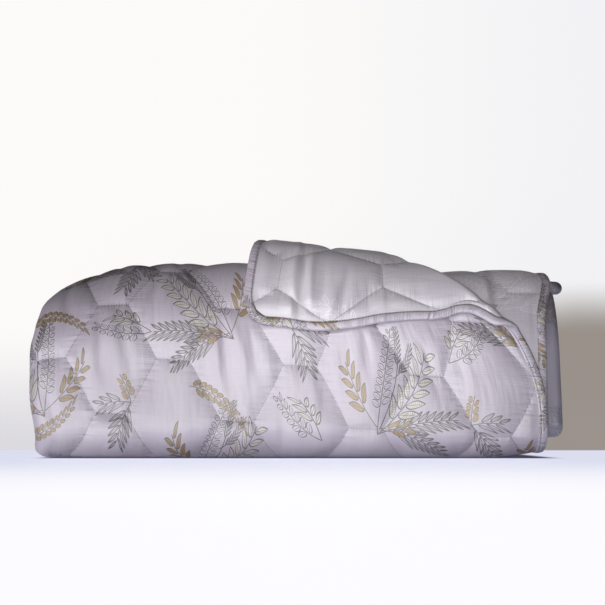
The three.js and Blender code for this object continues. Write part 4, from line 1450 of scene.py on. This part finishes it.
# Wide low lights. Columns: name, place, width, setting that holds the power, colour
LIGHTS = (
    ("key_light", (-2.3, -1.9, -0.4), 1.3, "key_power", (1, 0.985, 0.97)),
    ("front_light", (-0.3, -3.05, -0.4), 1.2, "front_power", (1, 0.985, 0.975)),
    ("back_light", (1.6, 2.6, -0.2), 1.4, "back_power", (1, 1, 1)),
)
STACK_MIDDLE = (0, 0, 0.08)
CORNER_LIGHT_AT = (-0.5, -2.4, 1.1)
CORNER_AT = (0.08, -0.12, 0.235)
WALL_Y = 0.44
CAMERA_AT = (0.0058, -1.862, 0.030)
CAMERA_PITCH = 5.04
CAMERA_LENS = 86.8


def stage_plane(name, look_name, **placed):
    """A wide plane that casts no shadow; also its look and places across and along it."""
    bpy.ops.mesh.primitive_plane_add(size=12, **placed)
    plane = bpy.context.object
    plane.name = name
    plane.visible_diffuse = False
    plane.visible_shadow = False
    look = Look(bpy.data.materials.new(look_name))
    plane.data.materials.append(look.owner)
    return plane, look, *look.split(look.node("ShaderNodeTexCoord", {}).part("Object"))


def make_floor():
    """A pale floor, with a painted shadow where the stack rests on it and painted shade around it that
    fades out farther away.
    """
    floor, look, x, y = stage_plane("floor", "pale_floor", location=(0, 0, -0.0004))
    beyond = (abs(x) - 0.285).most(abs(y) - 0.205)
    # Painted contact shadow: colour and glow go dark right at the stack's footprint
    clear = look.fade(beyond, -0.004, 0.02)
    # Painted shade: the floor's glow is dimmer and bluer near the stack and fades out about a metre away
    glow = look.mix(look.fade(beyond, 0.1, 1.0), (0.7, 0.72, 0.85), (0.97, 0.96, 1.0))
    look.set(Base_Color=look.mix(clear, (0.03, 0.03, 0.04), (0.1, 0.1, 0.1)), Roughness=0.6)
    look.set(Emission_Color=look.mix(clear, (0.04, 0.04, 0.06), glow), Emission_Strength=1.0)
    return floor


def make_wall():
    """A white wall behind, with a painted shadow of the stack at its right and painted shade towards the
    floor, and clear when seen from the back.
    """
    upright = {"location": (0, WALL_Y, 6), "rotation": (math.pi / 2, 0, 0)}
    wall, look, x, y = stage_plane("wall", "white_wall", **upright)
    wall.visible_glossy = False
    # Painted shadow: a soft dark blob to the right of the stack, where its shadow falls on the wall
    across, up = (x - 0.46) / 0.3, y + 6
    shade = look.fade((across * across).plus(1.0, (up / 0.235) * (up / 0.235)), 1.35, 0.6)
    # Painted shade: the glow greys towards the right, and darkens and turns bluer towards the floor
    glow = look.mix(look.fade(x, -0.1, 0.5), (0.95, 0.935, 0.92), (0.87, 0.87, 0.89))
    glow = look.mix(look.fade(up, 0.2, 0.0) * 0.28, glow, (0.0, 0.0, 0.15))
    look.set(Base_Color=(0.02, 0.02, 0.02), Roughness=0.9)
    look.set(Emission_Color=look.mix(shade, glow, (0.3, 0.265, 0.235)), Emission_Strength=1.0)
    back = look.node("ShaderNodeNewGeometry", {}).part("Backfacing")
    clear = look.node("ShaderNodeBsdfTransparent", {})
    shown = look.node("ShaderNodeMixShader", {}, back, Value(look, look.surface.outputs[0]), clear)
    look.give(look.tree.nodes["Material Output"].inputs[0], shown)
    return wall


def make_sky(scene):
    """Light from all round: brightest low in front and to the left, dim overhead, lavender below."""
    scene.world = scene.world or bpy.data.worlds.new("studio")
    sky = Look(scene.world, "Background")
    direction = sky.node("ShaderNodeTexCoord", {})
    bright = (-0.72, -0.64, -0.27)
    dot = {"operation": "DOT_PRODUCT"}
    toward = sky.node("ShaderNodeVectorMath", dot, direction, bright, out=1)
    height = sky.split(direction)[0].part("Z").plus(0.5, 0.5)
    ramp = sky.node("ShaderNodeValToRGB", {}, height)
    stops = ramp.socket.node.color_ramp.elements
    for place, _ in SKY[1:-1]:
        stops.new(place)
    for stop, (place, tone) in zip(stops, SKY):
        stop.position = place
        stop.color = (*tone, 1)
    sky.set(Color=ramp, Strength=sky.fade(toward, -0.2, 0.95, 0.05, 0.42))


def add_light(name, kind, place, target, **values):
    """A light at a place, turned towards its target."""
    data = bpy.data.lights.new(name, kind)
    for key, value in values.items():
        setattr(data, key, value)
    light = bpy.data.objects.new(name, data)
    light.location = place
    aim = Vector(target) - Vector(place)
    light.rotation_euler = aim.to_track_quat("-Z", "Y").to_euler()
    bpy.context.collection.objects.link(light)
    return light


def make_lights(settings):
    for name, place, wide, source, tone in LIGHTS:
        values = {"shape": "RECTANGLE", "size": wide, "size_y": 0.45}
        values.update(energy=getattr(settings, source), color=tone)
        light = add_light(name, "AREA", place, STACK_MIDDLE, **values)
        light.visible_glossy = name != "back_light"
    # A soft pool of light on the turned corner
    values = {"shadow_soft_size": 0.25, "spot_size": math.radians(6.6), "spot_blend": 1}
    values["energy"] = settings.corner_power
    add_light("corner_light", "SPOT", CORNER_LIGHT_AT, CORNER_AT, **values)


def make_camera(scene):
    data = bpy.data.cameras.new("camera")
    data.lens, data.sensor_width = CAMERA_LENS, 36
    camera = bpy.data.objects.new("camera", data)
    camera.location = CAMERA_AT
    camera.rotation_euler = (math.radians(90 + CAMERA_PITCH), 0, 0)
    bpy.context.collection.objects.link(camera)
    scene.camera = camera


class MAKE_OT_studio(bpy.types.Operator):
    """Set the floor, the wall, the lights and the camera"""

    bl_idname = "coverlet.studio"
    bl_label = "Studio"

    def execute(self, context):
        floor = make_floor()
        wall = make_wall()
        make_sky(context.scene)
        context.scene.view_settings.view_transform = "Standard"
        make_lights(context.scene.coverlet_studio)
        make_camera(context.scene)
        return {"FINISHED"}


class MAKE_PT_coverlet(bpy.types.Panel):
    bl_label = "Coverlet"
    bl_idname = "MAKE_PT_coverlet"
    bl_space_type = "VIEW_3D"
    bl_region_type = "UI"
    bl_category = "Coverlet"

    def draw(self, context):
        for settings in (context.scene.coverlet_cloth, context.scene.coverlet_studio):
            for name in type(settings).__annotations__:
                self.layout.prop(settings, name)
        for operator in ("quilted_cloth", "edge_binding", "studio"):
            self.layout.operator("coverlet." + operator)


CLASSES = (
    ClothSettings,
    StudioSettings,
    MAKE_OT_quilted_cloth,
    MAKE_OT_edge_binding,
    MAKE_OT_studio,
    MAKE_PT_coverlet,
)


def register():
    for made in CLASSES:
        bpy.utils.register_class(made)
    bpy.types.Scene.coverlet_cloth = PointerProperty(type=ClothSettings)
    bpy.types.Scene.coverlet_studio = PointerProperty(type=StudioSettings)


def unregister():
    del bpy.types.Scene.coverlet_studio
    del bpy.types.Scene.coverlet_cloth
    for made in reversed(CLASSES):
        bpy.utils.unregister_class(made)


def main():
    register()
    bpy.ops.coverlet.quilted_cloth()
    bpy.ops.coverlet.edge_binding()
    bpy.ops.coverlet.studio()


if __name__ == "__main__":
    main()
